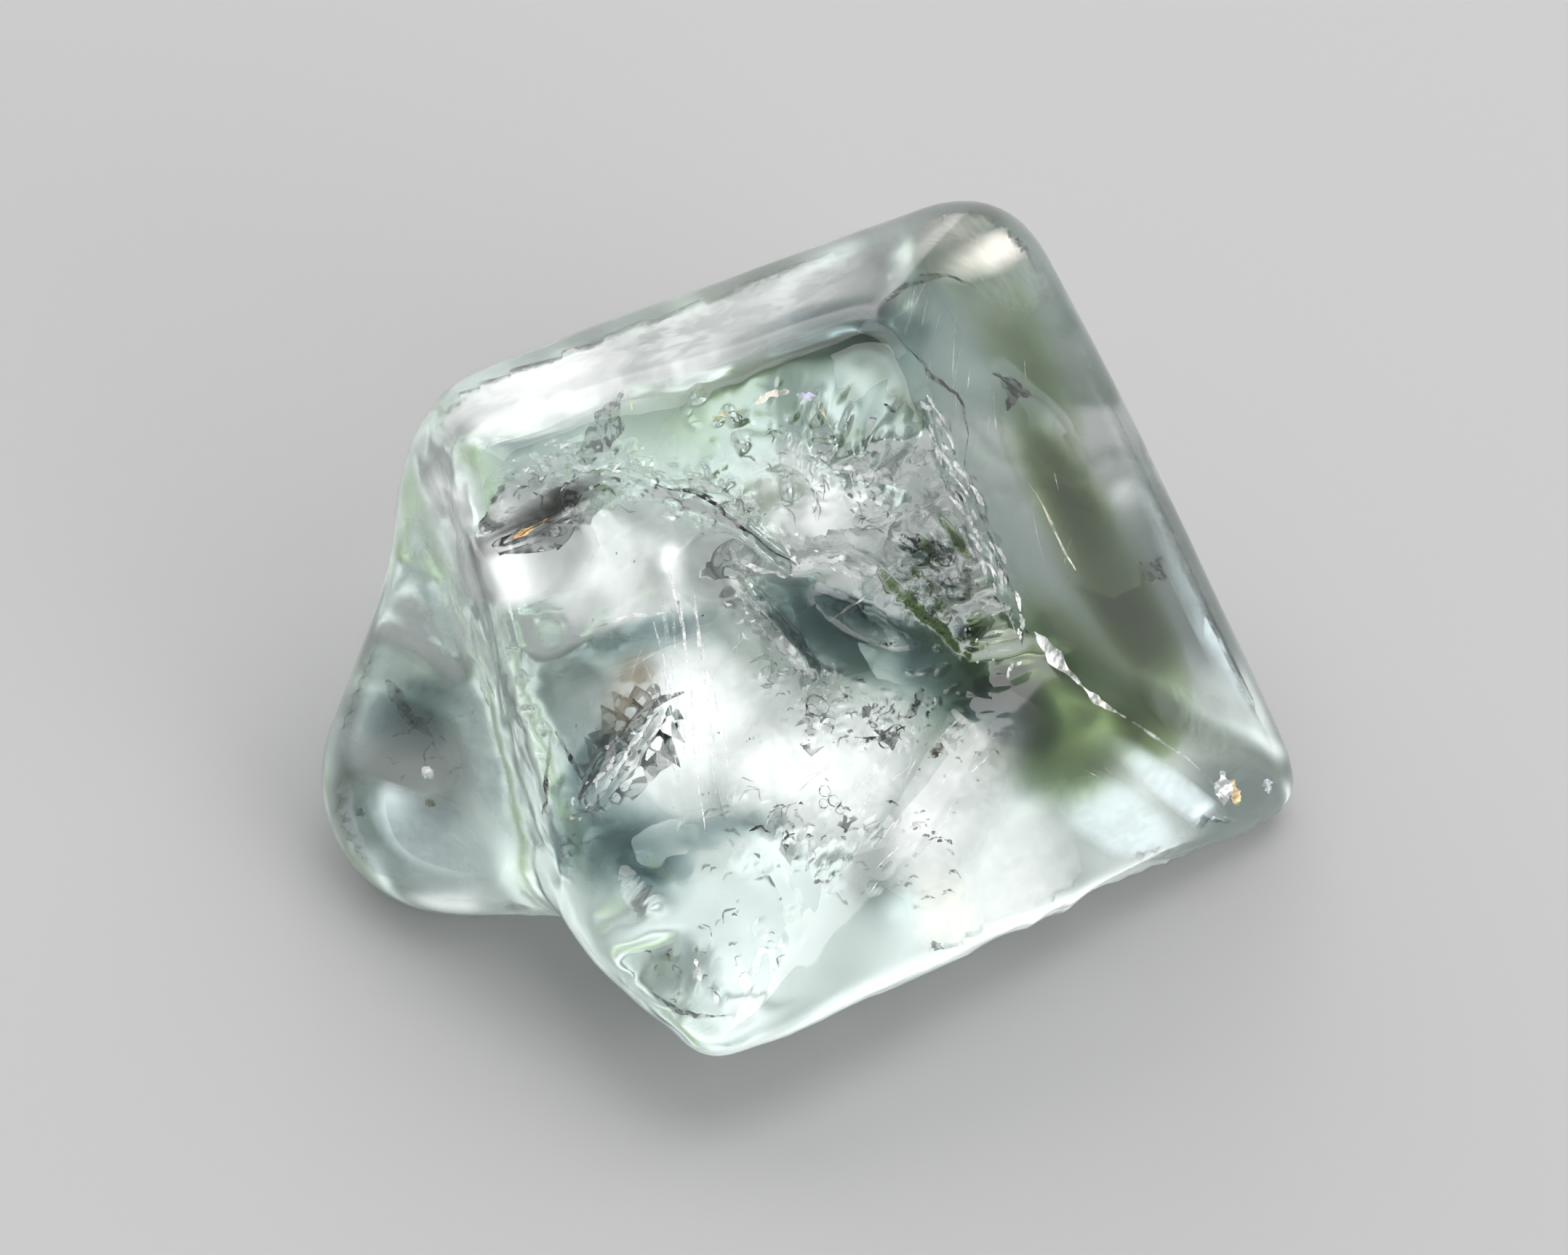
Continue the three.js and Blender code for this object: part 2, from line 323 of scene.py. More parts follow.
# %% Relief of the broken face: pits and the height map
# centre u, v, half length, half width, turn, count, size, depth
PIT_ZONES = [
    (0.2, -4.1, 1.6, 0.8, -15, 46, 0.16, 0.035),
    (-1.7, -3.8, 1.4, 0.9, 0, 30, 0.15, 0.03),
    (-0.5, -1.6, 1.5, 0.7, -35, 50, 0.14, 0.04),
    (1.5, 0.3, 1.1, 0.8, -50, 60, 0.17, 0.07),
    (-3.0, 2.1, 1.4, 0.45, -16, 50, 0.14, 0.05),
    (-4.9, 2.3, 1.4, 0.7, 10, 34, 0.16, 0.04),
    (-0.9, 2.8, 2.2, 1.2, -20, 60, 0.2, 0.03),
    (-2.4, -5.9, 1.7, 0.9, 20, 40, 0.16, 0.03),
    (1.6, -1.9, 1.3, 1.0, -40, 34, 0.16, 0.035),
    (-4.6, -3.4, 1.5, 0.5, 62, 34, 0.16, 0.04),
    (-5.9, -1.6, 2.2, 0.5, -66, 40, 0.18, 0.05),
    (-2.2, -1.0, 4.5, 4.0, 0, 40, 0.1, 0.02),
]

# the squared paper: millimetres a square, its first corner, lines a side
MAP_STEP, MAP_LOW_U, MAP_LOW_V, MAP_SIZE = 0.025, -9.0, -8.5, 700
MAP_END = MAP_SIZE - 1.001  # just short of the last line


def pit_places(seed=4):
    """Centre, size, width, turn and depth of every pit, by chance inside the zones' ovals."""
    rng = np.random.default_rng(seed)
    for *zone, count, size, depth in PIT_ZONES:
        for _ in range(count):
            place = chance_place(rng, *zone)
            length = size * (0.5 + rng.random())
            yield (*place, length, length * (0.3 + 0.4 * rng.random()),
                   360 * rng.random(), depth * (0.4 + rng.random()))


def relief_map():
    """All relief on squared paper: waves, ledge, plates, ripples, hollows, lumps, grain, pits.
    A pit is a bump, deeper on one side, so that it looks like a half moon."""
    side = np.arange(MAP_SIZE) * MAP_STEP
    u, v = np.meshgrid(MAP_LOW_U + side, MAP_LOW_V + side, indexing="ij")
    height = BREAK_WAVE * waves(u, v, BREAK_WAVES)
    height += ledge(u, v) + jagged(u, v) + ripples(u, v)
    height -= sum(mound(u, v, place) for place in HOLLOWS.values())
    height += SKIN_HEIGHT * rough_noise(u, v, SKIN_SIZE, 3, 5)
    for k, (*place, size) in enumerate(LUMPS.values()):
        height += mound(u, v, place) * rough_noise(u, v, size, 4, 80 + k)
    height += GRAIN_HEIGHT * grain_mask(u, v) * ridge_noise(u, v, GRAIN_SIZE, 2, 9)
    for pu, pv, long, wide, turn, depth in pit_places():
        i, j = int((pu - long - MAP_LOW_U) / MAP_STEP), int((pv - long - MAP_LOW_V) / MAP_STEP)
        n = int(2 * long / MAP_STEP) + 2
        window = slice(i, i + n), slice(j, j + n)
        near = oval(u[window], v[window], pu, pv, long, wide, turn)
        side_step = turned(u[window] - pu, v[window] - pv, -turn)[1]
        height[window] -= depth * bump(near) * (1 + np.clip(2 * side_step / wide, -1, 1))
    return height


RELIEF = relief_map()
print("relief from", RELIEF.min().round(2), "to", RELIEF.max().round(2), "mm")


def break_relief(u, v):
    """The map's height at u, v, even between its four nearest squares."""
    x = np.clip((u - MAP_LOW_U) / MAP_STEP, 0, MAP_END)
    y = np.clip((v - MAP_LOW_V) / MAP_STEP, 0, MAP_END)
    i, j = x.astype(int), y.astype(int)
    fx, fy = x - i, y - j
    low = RELIEF[i, j] * (1 - fx) + RELIEF[i + 1, j] * fx
    return low * (1 - fy) + (RELIEF[i, j + 1] * (1 - fx) + RELIEF[i + 1, j + 1] * fx) * fy


# %% [markdown]
# ## The whole stone as one distance
# Every face gives each point a distance, and the soft maximum of them all is negative inside
# the stone and positive outside. Growth faces are never quite flat, so each distance carries a
# gentle wave.

# %% The stone's distance
FACE_NORMALS = {name: direction(turn, slope) for name, (turn, slope, *_) in GROWTH_FACES.items()}
VIEW_DIRECTION = direction(-90, VIEW_SLOPE)


def face_waves(p):
    """Growth waves of all faces: three crossed sines through the stone, shifted face by face.
    The sum rule for sines needs each sine and cosine only once."""
    k = 2 * math.pi / FACE_WAVELENGTH
    sines, cosines = np.sin(k * p), np.cos(k * p)
    for seed in range(1, len(GROWTH_FACES) + 1):
        shift = seed * np.array([1, 2, 3])
        yield (sines @ np.cos(shift) + cosines @ np.sin(shift)) / 3


def lobe_distance(p):
    """Distance to a skin drawn over two balls of unlike size."""
    axis = LOBE_HIGH - LOBE_LOW
    length = np.linalg.norm(axis)
    along = (p - LOBE_LOW) @ (axis / length)
    away = np.sqrt(np.maximum(((p - LOBE_LOW) ** 2).sum(1) - along ** 2, 0))
    lean = (LOBE_LOW_RADIUS - LOBE_HIGH_RADIUS) / length
    side = math.sqrt(1 - lean * lean)
    place = side * along - lean * away
    low = np.hypot(away, along) - LOBE_LOW_RADIUS
    high = np.hypot(away, along - length) - LOBE_HIGH_RADIUS
    middle = side * away + lean * along - LOBE_LOW_RADIUS
    return np.where(place < 0, low, np.where(place > side * length, high, middle))


# lumps: size across, height, how far they are sunk, and how near the face they count
BACK_FACES = ("back_right", "back_left", "under_front", "under_left", "under_back")
HILL_SIZE, HILL_HEIGHT, HILL_SINK, HILL_REACH = 2.8, 0.11, 0.9, 1.5
CHIP_SIZE, CHIP_DEPTH, CHIP_REACH = 1.1, 0.8, 1.8
LEFT_LUMP_SIZE, LEFT_LUMP_HEIGHT = 1.3, 0.07


def hillocks(p, normal):
    """Growth hillocks, and chips along the lower edge: noise over the face's two directions."""
    side = unit(np.cross(normal, [0, 0, 1.0]))
    u, v = p @ side, p @ np.cross(normal, side)
    hills = HILL_HEIGHT * (rough_noise(u, v, HILL_SIZE, 3, 21) - HILL_SINK)
    low = bump((p[:, 2] + HEART_HEIGHT) / CHIP_REACH)
    return hills - CHIP_DEPTH * low * abs(lattice_noise(u, v, CHIP_SIZE, 27))


def outside(p):
    """How far points p, from the heart, lie outside the stone."""
    distance = p @ BREAK_NORMAL - BREAK_REACH - break_relief(p[:, 0], p @ VIEW_UP)
    for (name, face), wave in zip(GROWTH_FACES.items(), face_waves(p)):
        *_, reach, rounding, waviness = face
        skin = p @ FACE_NORMALS[name] - reach - waviness * wave
        if name in BACK_FACES:
            near = abs(skin) < HILL_REACH
            skin[near] -= hillocks(p[near], FACE_NORMALS[name])
        if name == "left":
            skin = skin + LEFT_LUMP_HEIGHT * rough_noise(p[:, 1], p[:, 2], LEFT_LUMP_SIZE, 3, 33)
        distance = soft_max(distance, skin, rounding)
    distance = soft_min(distance, lobe_distance(p), LOBE_NECK)
    return soft_max(distance, -HEART_HEIGHT - p[:, 2], BASE_EDGE)


def halve(start, step, far, rounds):
    """Points start + t * step where outside() turns positive, t between 0 and far."""
    near, far = np.zeros(len(start)), np.full(len(start), float(far))
    for _ in range(rounds):
        middle = (near + far) / 2
        inside = outside(start + step * middle[:, None]) < 0
        near, far = np.where(inside, middle, near), np.where(inside, far, middle)
    return start + step * far[:, None]


def skin_normal(p, step=0.12):
    """Outward normal: how the distance grows along each axis."""
    grow = [outside(p + step * axis) - outside(p - step * axis) for axis in np.eye(3)]
    return unit(np.stack(grow, axis=1))


# %% [markdown]
# ## Where a mark inside the stone has to lie
# A ray of light bends as it enters topaz, so a crack that shows at one place on the face lies a
# little to the side of it. Each inclusion is drawn on the face in u and v, then sunk along the
# bent ray by its depth. That keeps a drawn mark in shape, whatever the skin above it does.

# %% Sinking a mark along the bent ray
TOPAZ_IOR = 1.62
GRAZING = 0.05  # the least that a ray may face a skin
TRIAL_HEIGHTS = np.linspace(-5, 4, 13)  # towards the eye, from the plane through the heart
SKIN_MARGIN = 0.15  # how far inside a sight line has to come
PULL_CENTRE, PULL, PULL_STEPS = -0.6, 0.97, 12  # in u and in v
SIGHT_REACH, SIGHT_HALVINGS = 9, 18
INSIDE_REACH, INSIDE_HALVINGS = 20, 12
JUST_UNDER, ROOM_SHARE = 0.1, 0.8


def bend_in(ray, normal):
    """The direction of a ray once it is inside: Snell's law for rays against outward normals."""
    facing = np.maximum(-(ray * normal).sum(-1, keepdims=True), GRAZING)
    turn = 1 / TOPAZ_IOR
    return turn * ray + (turn * facing - np.sqrt(1 - turn * turn * (1 - facing * facing))) * normal


def deepest(u, v):
    """The deepest of a row of trial points behind u, v, and its distance to the skin."""
    plane = u[:, None] * np.array([1.0, 0, 0]) + v[:, None] * VIEW_UP
    level = np.stack([outside(plane + height * VIEW_DIRECTION) for height in TRIAL_HEIGHTS])
    return plane + TRIAL_HEIGHTS[level.argmin(0)][:, None] * VIEW_DIRECTION, level.min(0)


def keep_in(u, v):
    """Draws points that miss the stone towards the middle of the face until they meet it, and
    says which ones stayed where they were."""
    u, v = np.ravel(u).astype(float), np.ravel(v).astype(float)
    out = deepest(u, v)[1] > -SKIN_MARGIN
    stayed = ~out
    for _ in range(PULL_STEPS):
        u[out] = PULL_CENTRE + PULL * (u[out] - PULL_CENTRE)
        v[out] = PULL_CENTRE + PULL * (v[out] - PULL_CENTRE)
        out[out] = deepest(u[out], v[out])[1] > -SKIN_MARGIN
        if not out.any():
            break
    return u, v, stayed


def look_in(u, v):
    """Where the sight line at u, v enters the stone, how it runs on inside, the normal there,
    how far it may run, and 0 where it missed the stone and was drawn in, otherwise 1."""
    u, v, stayed = keep_in(u, v)
    start, _ = deepest(u, v)
    entry = halve(start, np.broadcast_to(VIEW_DIRECTION, start.shape), SIGHT_REACH, SIGHT_HALVINGS)
    normal = skin_normal(entry)
    ray = bend_in(np.broadcast_to(-VIEW_DIRECTION, entry.shape), normal)
    leave = halve(entry - JUST_UNDER * normal, ray, INSIDE_REACH, INSIDE_HALVINGS)
    room = ROOM_SHARE * np.linalg.norm(leave - entry, axis=1)
    return entry, ray, normal, room, stayed.astype(float)


# %% [markdown]
# ## A skin of rays
# The skin is found along rays from the heart: halving the step again and again closes in on the
# point where a ray leaves the stone. The rays form a square cap over the broken face, where
# detail is wanted, and a skirt that runs from the cap's rim to one point at the back. Both are
# grids of two parameters, so whole arrays do the work at once.

# %% Rays
CAP_CELLS = 178
SKIRT_ROWS = 90
CAP_HALF_ANGLE = 52
BREAK_MIDDLE = (-1.9, -1.1)
HALVINGS = 26
RAY_LENGTH = 16.0
SHRINK = 0.999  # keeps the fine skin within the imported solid's box


def cap_axes():
    """The cap looks at the middle of the broken face; its sides run along u and v."""
    right = np.array([1.0, 0, 0])
    axis = unit(BREAK_NORMAL * BREAK_REACH + right * BREAK_MIDDLE[0] + VIEW_UP * BREAK_MIDDLE[1])
    right = unit(right - axis * (right @ axis))
    return right, np.cross(axis, right), axis


def ray_grid():
    """Cap rays (n+1 by n+1) by the tangents of two angles; skirt rays keep their angle round
    the axis and open from the rim to the point straight behind."""
    right, up, axis = cap_axes()
    angle = np.radians(np.linspace(-CAP_HALF_ANGLE, CAP_HALF_ANGLE, CAP_CELLS + 1))
    a, b = np.meshgrid(np.tan(angle), np.tan(angle), indexing="ij")
    cap = a[..., None] * right + b[..., None] * up + axis
    n = CAP_CELLS
    walk = [(i, 0) for i in range(n)] + [(n, i) for i in range(n)]
    walk += [(n - i, n) for i in range(n)] + [(0, n - i) for i in range(n)]
    rim = np.array(walk)
    ra, rb = a[rim[:, 0], rim[:, 1]], b[rim[:, 0], rim[:, 1]]
    round_angle = np.arctan2(rb, ra)
    open_angle = np.arctan(np.hypot(ra, rb))
    t = (np.arange(1, SKIRT_ROWS) / SKIRT_ROWS)[:, None]
    theta = open_angle + (math.pi - open_angle) * t
    spoke = np.cos(round_angle)[:, None] * right + np.sin(round_angle)[:, None] * up
    skirt = np.sin(theta)[..., None] * spoke + np.cos(theta)[..., None] * axis
    return unit(np.vstack([cap.reshape(-1, 3), skirt.reshape(-1, 3), -axis[None]])), rim


def grid_faces(items, rows, cols):
    """Quads of several grids of rows by cols points, numbered one grid after another."""
    index = np.arange(items * rows * cols).reshape(items, rows, cols)
    quads = [index[:, :-1, :-1], index[:, 1:, :-1], index[:, 1:, 1:], index[:, :-1, 1:]]
    return np.stack(quads, axis=-1).reshape(-1, 4).tolist()


def ray_faces(rim):
    """Quads of the cap and of the skirt, and the fan that closes the back."""
    side = CAP_CELLS + 1
    tip = side ** 2 + (SKIRT_ROWS - 1) * len(rim)
    skirt_points = np.arange(side ** 2, tip).reshape(SKIRT_ROWS - 1, -1)
    rows = np.vstack([rim[:, 0] * side + rim[:, 1], skirt_points])
    beside = np.roll(rows, -1, axis=1)
    skirt = np.stack([rows[:-1], rows[1:], beside[1:], beside[:-1]], axis=-1).reshape(-1, 4)
    fan = np.stack([rows[-1], np.full(len(rim), tip), beside[-1]], axis=-1)
    return grid_faces(1, side, side) + skirt.tolist() + fan.tolist()


def make_piece(name, points, faces, smooth=True):
    """A mesh object at the origin; points are in millimetres in the stone's frame."""
    mesh = bpy.data.meshes.new(name)
    mesh.from_pydata((points * MM).tolist(), [], faces)
    mesh.polygons.foreach_set("use_smooth", np.full(len(mesh.polygons), smooth))
    piece = bpy.data.objects.new(name, mesh)
    bpy.context.collection.objects.link(piece)
    return piece


def paint(piece, name, values):
    """Keep one number for each point of a mesh, for a material to read."""
    attribute = piece.data.attributes.new(name, "FLOAT", "POINT")
    attribute.data.foreach_set("value", np.asarray(values, dtype=np.float32))


# %% The skin
rays, rim = ray_grid()
skin = halve(np.zeros_like(rays), rays, RAY_LENGTH, HALVINGS)
middle = (skin.min(0) + skin.max(0)) / 2 * (1, 1, 0)
skin = middle + (skin - middle) * (SHRINK, SHRINK, 1)
HEART = np.array([0, 0, HEART_HEIGHT]) - middle
crystal = make_piece("crystal_skin", skin + HEART, ray_faces(rim))
print("skin:", len(skin), "points, heart at", HEART.round(3), "size", np.ptp(skin, axis=0).round(2))
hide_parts("topaz_crystal")
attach(crystal, "root")

# %% [markdown]
# ### Where the skin is dull
# The back and the underside lay against rock and are rubbed dull, most of all along their
# edges. The growth faces in front are a touch satin, and the fresh break is bright. Roughness
# could be painted by hand; here it follows from which face is the outermost at each point, and
# the material reads it from the points.

# %% Where the skin is dull
# roughness, where it starts, and the distance over which it fades
HIDDEN_FACES = (*BACK_FACES, "base")
BACK_DULL, BACK_FADE = 0.28, 0.15
SATIN, SATIN_START, SATIN_FADE = 0.15, 0.15, 0.35
RUBBED_WIDTH = 0.35
LOBE_SATIN, LOBE_FALL = 0.6, 3
PATCH_MEAN, PATCH_CHANGE, PATCH_SIZE = 0.9, 0.45, 1.6
GRAIN_FADE = 0.5


def plane_distances(p):
    """The distance of each point from each plane of the stone, the broken face and base too."""
    planes = {name: p @ FACE_NORMALS[name] - reach
              for name, (_, _, reach, *_) in GROWTH_FACES.items()}
    return {**planes, "break": p @ BREAK_NORMAL - BREAK_REACH, "base": -HEART_HEIGHT - p[:, 2]}


def dull_mask(p):
    """Roughness from place: uneven where a hidden plane is the outermost, with more where two
    of them are almost level; satin where a growth face or the lobe lies outside the break."""
    planes = plane_distances(p)
    hidden = np.sort([planes[name] for name in HIDDEN_FACES], axis=0)
    growth = np.max([d for name, d in planes.items() if name not in (*HIDDEN_FACES, "break")], axis=0)
    seen = np.maximum(growth, planes["break"])
    growth = np.maximum(growth, LOBE_SATIN - LOBE_FALL * lobe_distance(p))
    edge = 1 - ramp((hidden[-1] - hidden[-2] - RUBBED_WIDTH) / RUBBED_WIDTH)
    patches = PATCH_MEAN + PATCH_CHANGE * solid_noise(p, PATCH_SIZE, 51)
    back = ramp((hidden[-1] - seen) / BACK_FADE) * (patches + edge)
    satin = ramp((growth - planes["break"] - SATIN_START) / SATIN_FADE)
    return np.maximum(SATIN * satin, BACK_DULL * back)


def grain_paint(p):
    """The grain patches, only where the broken face is the outermost one."""
    planes = plane_distances(p)
    others = np.max([d for name, d in planes.items() if name != "break"], axis=0)
    on_break = ramp((planes["break"] - others + GRAIN_FADE) / GRAIN_FADE)
    return grain_mask(p[:, 0], p @ VIEW_UP) * on_break


roughness = dull_mask(skin)
paint(crystal, "dull", roughness)
paint(crystal, "grain", grain_paint(skin))
print("roughness from", roughness.min().round(2), "to", roughness.max().round(2))

# %% [markdown]
# ## Building shader nodes in short lines
# A node tree written line by line is long. One helper adds a node, sets its options and fills its
# sockets, with a number or with the output of another node.

# %% Node helper
def node(tree, kind, *inputs, **options):
    """Adds a node; each input is (socket, value or output socket)."""
    new = tree.nodes.new(kind)
    for key, value in options.items():
        setattr(new, key, value)
    for socket, value in inputs:
        if isinstance(value, bpy.types.NodeSocket):
            tree.links.new(value, new.inputs[socket])
        else:
            new.inputs[socket].default_value = value
    return new


def maths(tree, operation, *values):
    """A sum, difference or product of numbers and sockets."""
    return node(tree, "ShaderNodeMath", *enumerate(values), operation=operation).outputs[0]


def spread(tree, value, low, high):
    """A smooth ramp from 0 at low to 1 at high."""
    new = node(tree, "ShaderNodeMapRange", ("Value", value), ("From Min", low), ("From Max", high),
               interpolation_type="SMOOTHSTEP")
    return new.outputs["Result"]


def painted(tree, name, socket="Fac"):
    """A number or a colour that is kept on the points."""
    return node(tree, "ShaderNodeAttribute", attribute_name=name).outputs[socket]


def new_material(name):
    """A material with its node tree and the sockets of its shader."""
    material = bpy.data.materials.new(name)
    material.use_nodes = True
    return material, material.node_tree, material.node_tree.nodes["Principled BSDF"].inputs


def fill(tree, colour, density):
    """Tint the inside: the farther light runs through it, the more colour it takes on."""
    tint = node(tree, "ShaderNodeVolumeAbsorption", ("Color", (*colour, 1)), ("Density", density))
    tree.links.new(tint.outputs["Volume"], tree.nodes["Material Output"].inputs["Volume"])


def colour_by_points(tree, shader, brightness):
    """Base colour: the tint kept on the points, times a brightness."""
    tint = painted(tree, "tint", "Color")
    colour = node(tree, "ShaderNodeVectorMath", (0, tint), (1, brightness), operation="MULTIPLY")
    tree.links.new(colour.outputs[0], shader["Base Color"])


# %% [markdown]
# ## Wisps
# Veils, cracks and scratches in topaz are all broken up by the same fine growth texture. It is
# one node group: warped noise, cut by a soft threshold, at a chosen grain size.

# %% The wisps group
# scales are per metre, the warp is in metres; the cut lies lower where the cover is high
WARP_SCALE, WARP = 700.0, (0.0009, 0.0009, 0.0009)
FINE_SCALE, SOFT_SCALE = 6000.0, 360.0
CUT_HIGH, CUT_RANGE, CUT_WIDTH = 0.68, 0.36, 0.22
SOFT_LOW, SOFT_HIGH = 0.22, 0.6


def noise_value(tree, place, scale, **inputs):
    """Blender's noise from 0 to 1; plain unless more detail is asked for."""
    inputs = {"Scale": scale, "Detail": 0.0, **inputs}
    return node(tree, "ShaderNodeTexNoise", ("Vector", place), *inputs.items()).outputs


def wisps_group():
    """Mask: warped noise, ramped above a cut. Fine: fine noise as it is. Soft: broad noise,
    ramped."""
    group = bpy.data.node_groups.new("wisps", "ShaderNodeTree")
    for name, side in (("Grains per metre", "INPUT"), ("Cover", "INPUT"),
                       ("Mask", "OUTPUT"), ("Fine", "OUTPUT"), ("Soft", "OUTPUT")):
        group.interface.new_socket(name, in_out=side, socket_type="NodeSocketFloat")
    given = group.nodes.new("NodeGroupInput").outputs
    place = node(group, "ShaderNodeTexCoord").outputs["Object"]
    warp = noise_value(group, place, WARP_SCALE)["Color"]
    warped = node(group, "ShaderNodeVectorMath", (0, warp), (1, WARP), (2, place),
                  operation="MULTIPLY_ADD").outputs[0]
    broad = noise_value(group, warped, given["Grains per metre"], Detail=2.0, Roughness=0.65)["Fac"]
    edge = maths(group, "SUBTRACT", CUT_HIGH, maths(group, "MULTIPLY", given["Cover"], CUT_RANGE))
    made = {"Mask": spread(group, broad, edge, maths(group, "ADD", edge, CUT_WIDTH)),
            "Fine": noise_value(group, warped, FINE_SCALE)["Fac"],
            "Soft": spread(group, noise_value(group, place, SOFT_SCALE)["Fac"], SOFT_LOW, SOFT_HIGH)}
    out = group.nodes.new("NodeGroupOutput").inputs
    for name, socket in made.items():
        group.links.new(socket, out[name])
    return group


WISPS = wisps_group()


def wisps(tree, grains, cover):
    """The group in a material: its outputs at a grain size and a cover."""
    given = ("Grains per metre", grains), ("Cover", cover)
    return node(tree, "ShaderNodeGroup", *given, node_tree=WISPS).outputs


# %% [markdown]
# ## The clear stone
# Topaz is clear glass to the eye: it lets light through, bends it by 1.62 and takes a little red
# out on the way, which gives the grey-green tint where the stone is thick. The back lay against
# rock and is slightly dull, so what shows through the stone is soft, while the broken face in
# front is bright and sharp apart from its grainy patches.

# %% The clear stone
STONE_TINT, STONE_DENSITY = (0.58, 0.84, 0.77), 36.0
GRAIN_ROUGHNESS = 0.16


def clear_stone():
    """Glass that fills with tint; rough by what is kept on the points."""
    material, tree, glass = new_material("clear topaz")
    glass["Base Color"].default_value = (1, 1, 1, 1)
    glass["Transmission Weight"].default_value = 1
    glass["IOR"].default_value = TOPAZ_IOR
    rough = maths(tree, "MULTIPLY_ADD", painted(tree, "grain"), GRAIN_ROUGHNESS, painted(tree, "dull"))
    tree.links.new(rough, glass["Roughness"])
    fill(tree, STONE_TINT, STONE_DENSITY)
    return material


crystal.data.materials.append(clear_stone())

# %% [markdown]
# ## Colour zones
# A crystal takes up a little more iron at one time than at another, so parts of it are tinted:
# olive along the right face. The slate blue under the scoop and the groove is partly such a tint
# and partly painted shade, which darkens these hollows of the break. Each zone is a lens with
# nothing on its skin, filled with a stronger tint. Its colour fades towards the rim by itself,
# because the light crosses less of it there.

# %% A piece inside the stone
def piece_inside(name, points, faces, material):
    """A piece from points round the heart, which rides with the stone."""
    piece = make_piece(name, points + HEART, faces)
    piece.data.materials.append(material)
    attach(piece, "root")
    print(name, len(points), "points")
    return piece


# %% Colour zones
ZONE_RINGS, ZONE_SPOKES = 14, 28
ZONE_SWELL, ZONE_SWELL_SIZE = 0.16, 0.9
NEAR_SKIN = 0.05
OLIVE_TINT, OLIVE_DENSITY = (0.45, 0.56, 0.24), 2200.0
# slate: a blue-grey tint that is partly painted shade in the hollows of the break
SLATE_TINT_AND_SHADE, SLATE_TINT_AND_SHADE_DENSITY = (0.28, 0.42, 0.44), 1500.0

# u, v, depth, half length, half width, half thickness, turn
OLIVE_ZONES = [
    (3.5, 2.3, 1.7, 2.2, 1.35, 1.3, -62),
    (4.3, 0.7, 1.6, 3.7, 1.5, 1.2, -62),
    (2.9, 4.4, 1.4, 2.5, 1.5, 0.5, -68),
    (3.4, -1.8, 1.7, 2.6, 1.5, 0.75, -45),
]
# slate lenses: tint, and painted shade under the scoop and the groove
SLATE_TINT_AND_SHADE_ZONES = [
    (0.1, 0.1, 2.0, 2.1, 1.0, 1.5, -24),
    (1.9, -1.2, 2.0, 2.1, 0.9, 1.5, -36),
    (-3.7, -4.3, 1.5, 1.5, 0.95, 1.1, -52),
    (-4.3, -2.6, 0.7, 1.6, 0.4, 0.5, 56),
    (-2.4, -3.6, 1.6, 1.4, 0.35, 0.35, 8),
    (-7.5, -1.6, 1.1, 1.1, 0.8, 0.6, 20),
    (-3.7, -0.35, 1.6, 1.8, 0.35, 0.35, 14),
    (-0.3, 5.1, 1.2, 1.6, 0.8, 0.6, 8),
]


def zone_faces(items):
    """Rings of quads closed by a fan at each pole, for several lenses in a row."""
    ring = np.arange(ZONE_RINGS * ZONE_SPOKES).reshape(ZONE_RINGS, ZONE_SPOKES)
    beside = np.roll(ring, -1, axis=1)
    quads = np.stack([ring[:-1], beside[:-1], beside[1:], ring[1:]], axis=-1).reshape(-1, 4)
    pole = np.full(ZONE_SPOKES, ring.size)
    fans = np.vstack([np.stack([pole, beside[0], ring[0]], axis=-1),
                      np.stack([pole + 1, ring[-1], beside[-1]], axis=-1)])
    parts = [part + k * (ring.size + 2) for k in range(items) for part in (quads, fans)]
    return [face for part in parts for face in part.tolist()]


def zone_material(name, colour, density):
    """Nothing on the skin, and a strong tint inside."""
    material, tree, shader = new_material(name)
    shader["Alpha"].default_value = 0
    fill(tree, colour, density)
    return material


def zones(name, places, material):
    """Lenses across the bent sight line: a unit ball whose height is raised to the fourth power,
    which thins the rim, swollen unevenly by noise and stretched to size."""
    lift = np.pi * (np.arange(1, ZONE_RINGS + 1) / (ZONE_RINGS + 1) - 0.5)[:, None]
    turn = 2 * np.pi * np.arange(ZONE_SPOKES) / ZONE_SPOKES
    ball = np.broadcast_arrays(np.cos(lift) * np.cos(turn), np.cos(lift) * np.sin(turn), np.sin(lift))
    ball = np.vstack([np.stack(ball, axis=-1).reshape(-1, 3), (0, 0, -1), (0, 0, 1)])
    x, y, z = ball.T
    thin_rim = np.stack([x, y, np.sign(z) * z ** 4], axis=-1)
    lenses = []
    for k, (u, v, depth, long, wide, thick, lean) in enumerate(places):
        entry, ray, *_ = look_in(np.array([u]), np.array([v]))
        across = unit(np.cross(VIEW_UP, -ray[0]))
        along, athwart = turned(across, np.cross(-ray[0], across), -lean)
        axes = np.stack([long * along, wide * athwart, -thick * ray[0]])
        swell = 1 + ZONE_SWELL * solid_noise(ball, ZONE_SWELL_SIZE, 70 + k)
        lenses.append(entry + depth * ray + (thin_rim * swell[:, None]) @ axes)
    lenses = np.concatenate(lenses)
    print(name, "points at the skin or outside:", int((outside(lenses) > -NEAR_SKIN).sum()))
    return piece_inside(name, lenses, zone_faces(len(places)), material)


zones("olive_zones", OLIVE_ZONES, zone_material("olive tint", OLIVE_TINT, OLIVE_DENSITY))
zones("slate_tint_and_shade_zones", SLATE_TINT_AND_SHADE_ZONES, zone_material("slate tint and shade", SLATE_TINT_AND_SHADE, SLATE_TINT_AND_SHADE_DENSITY))
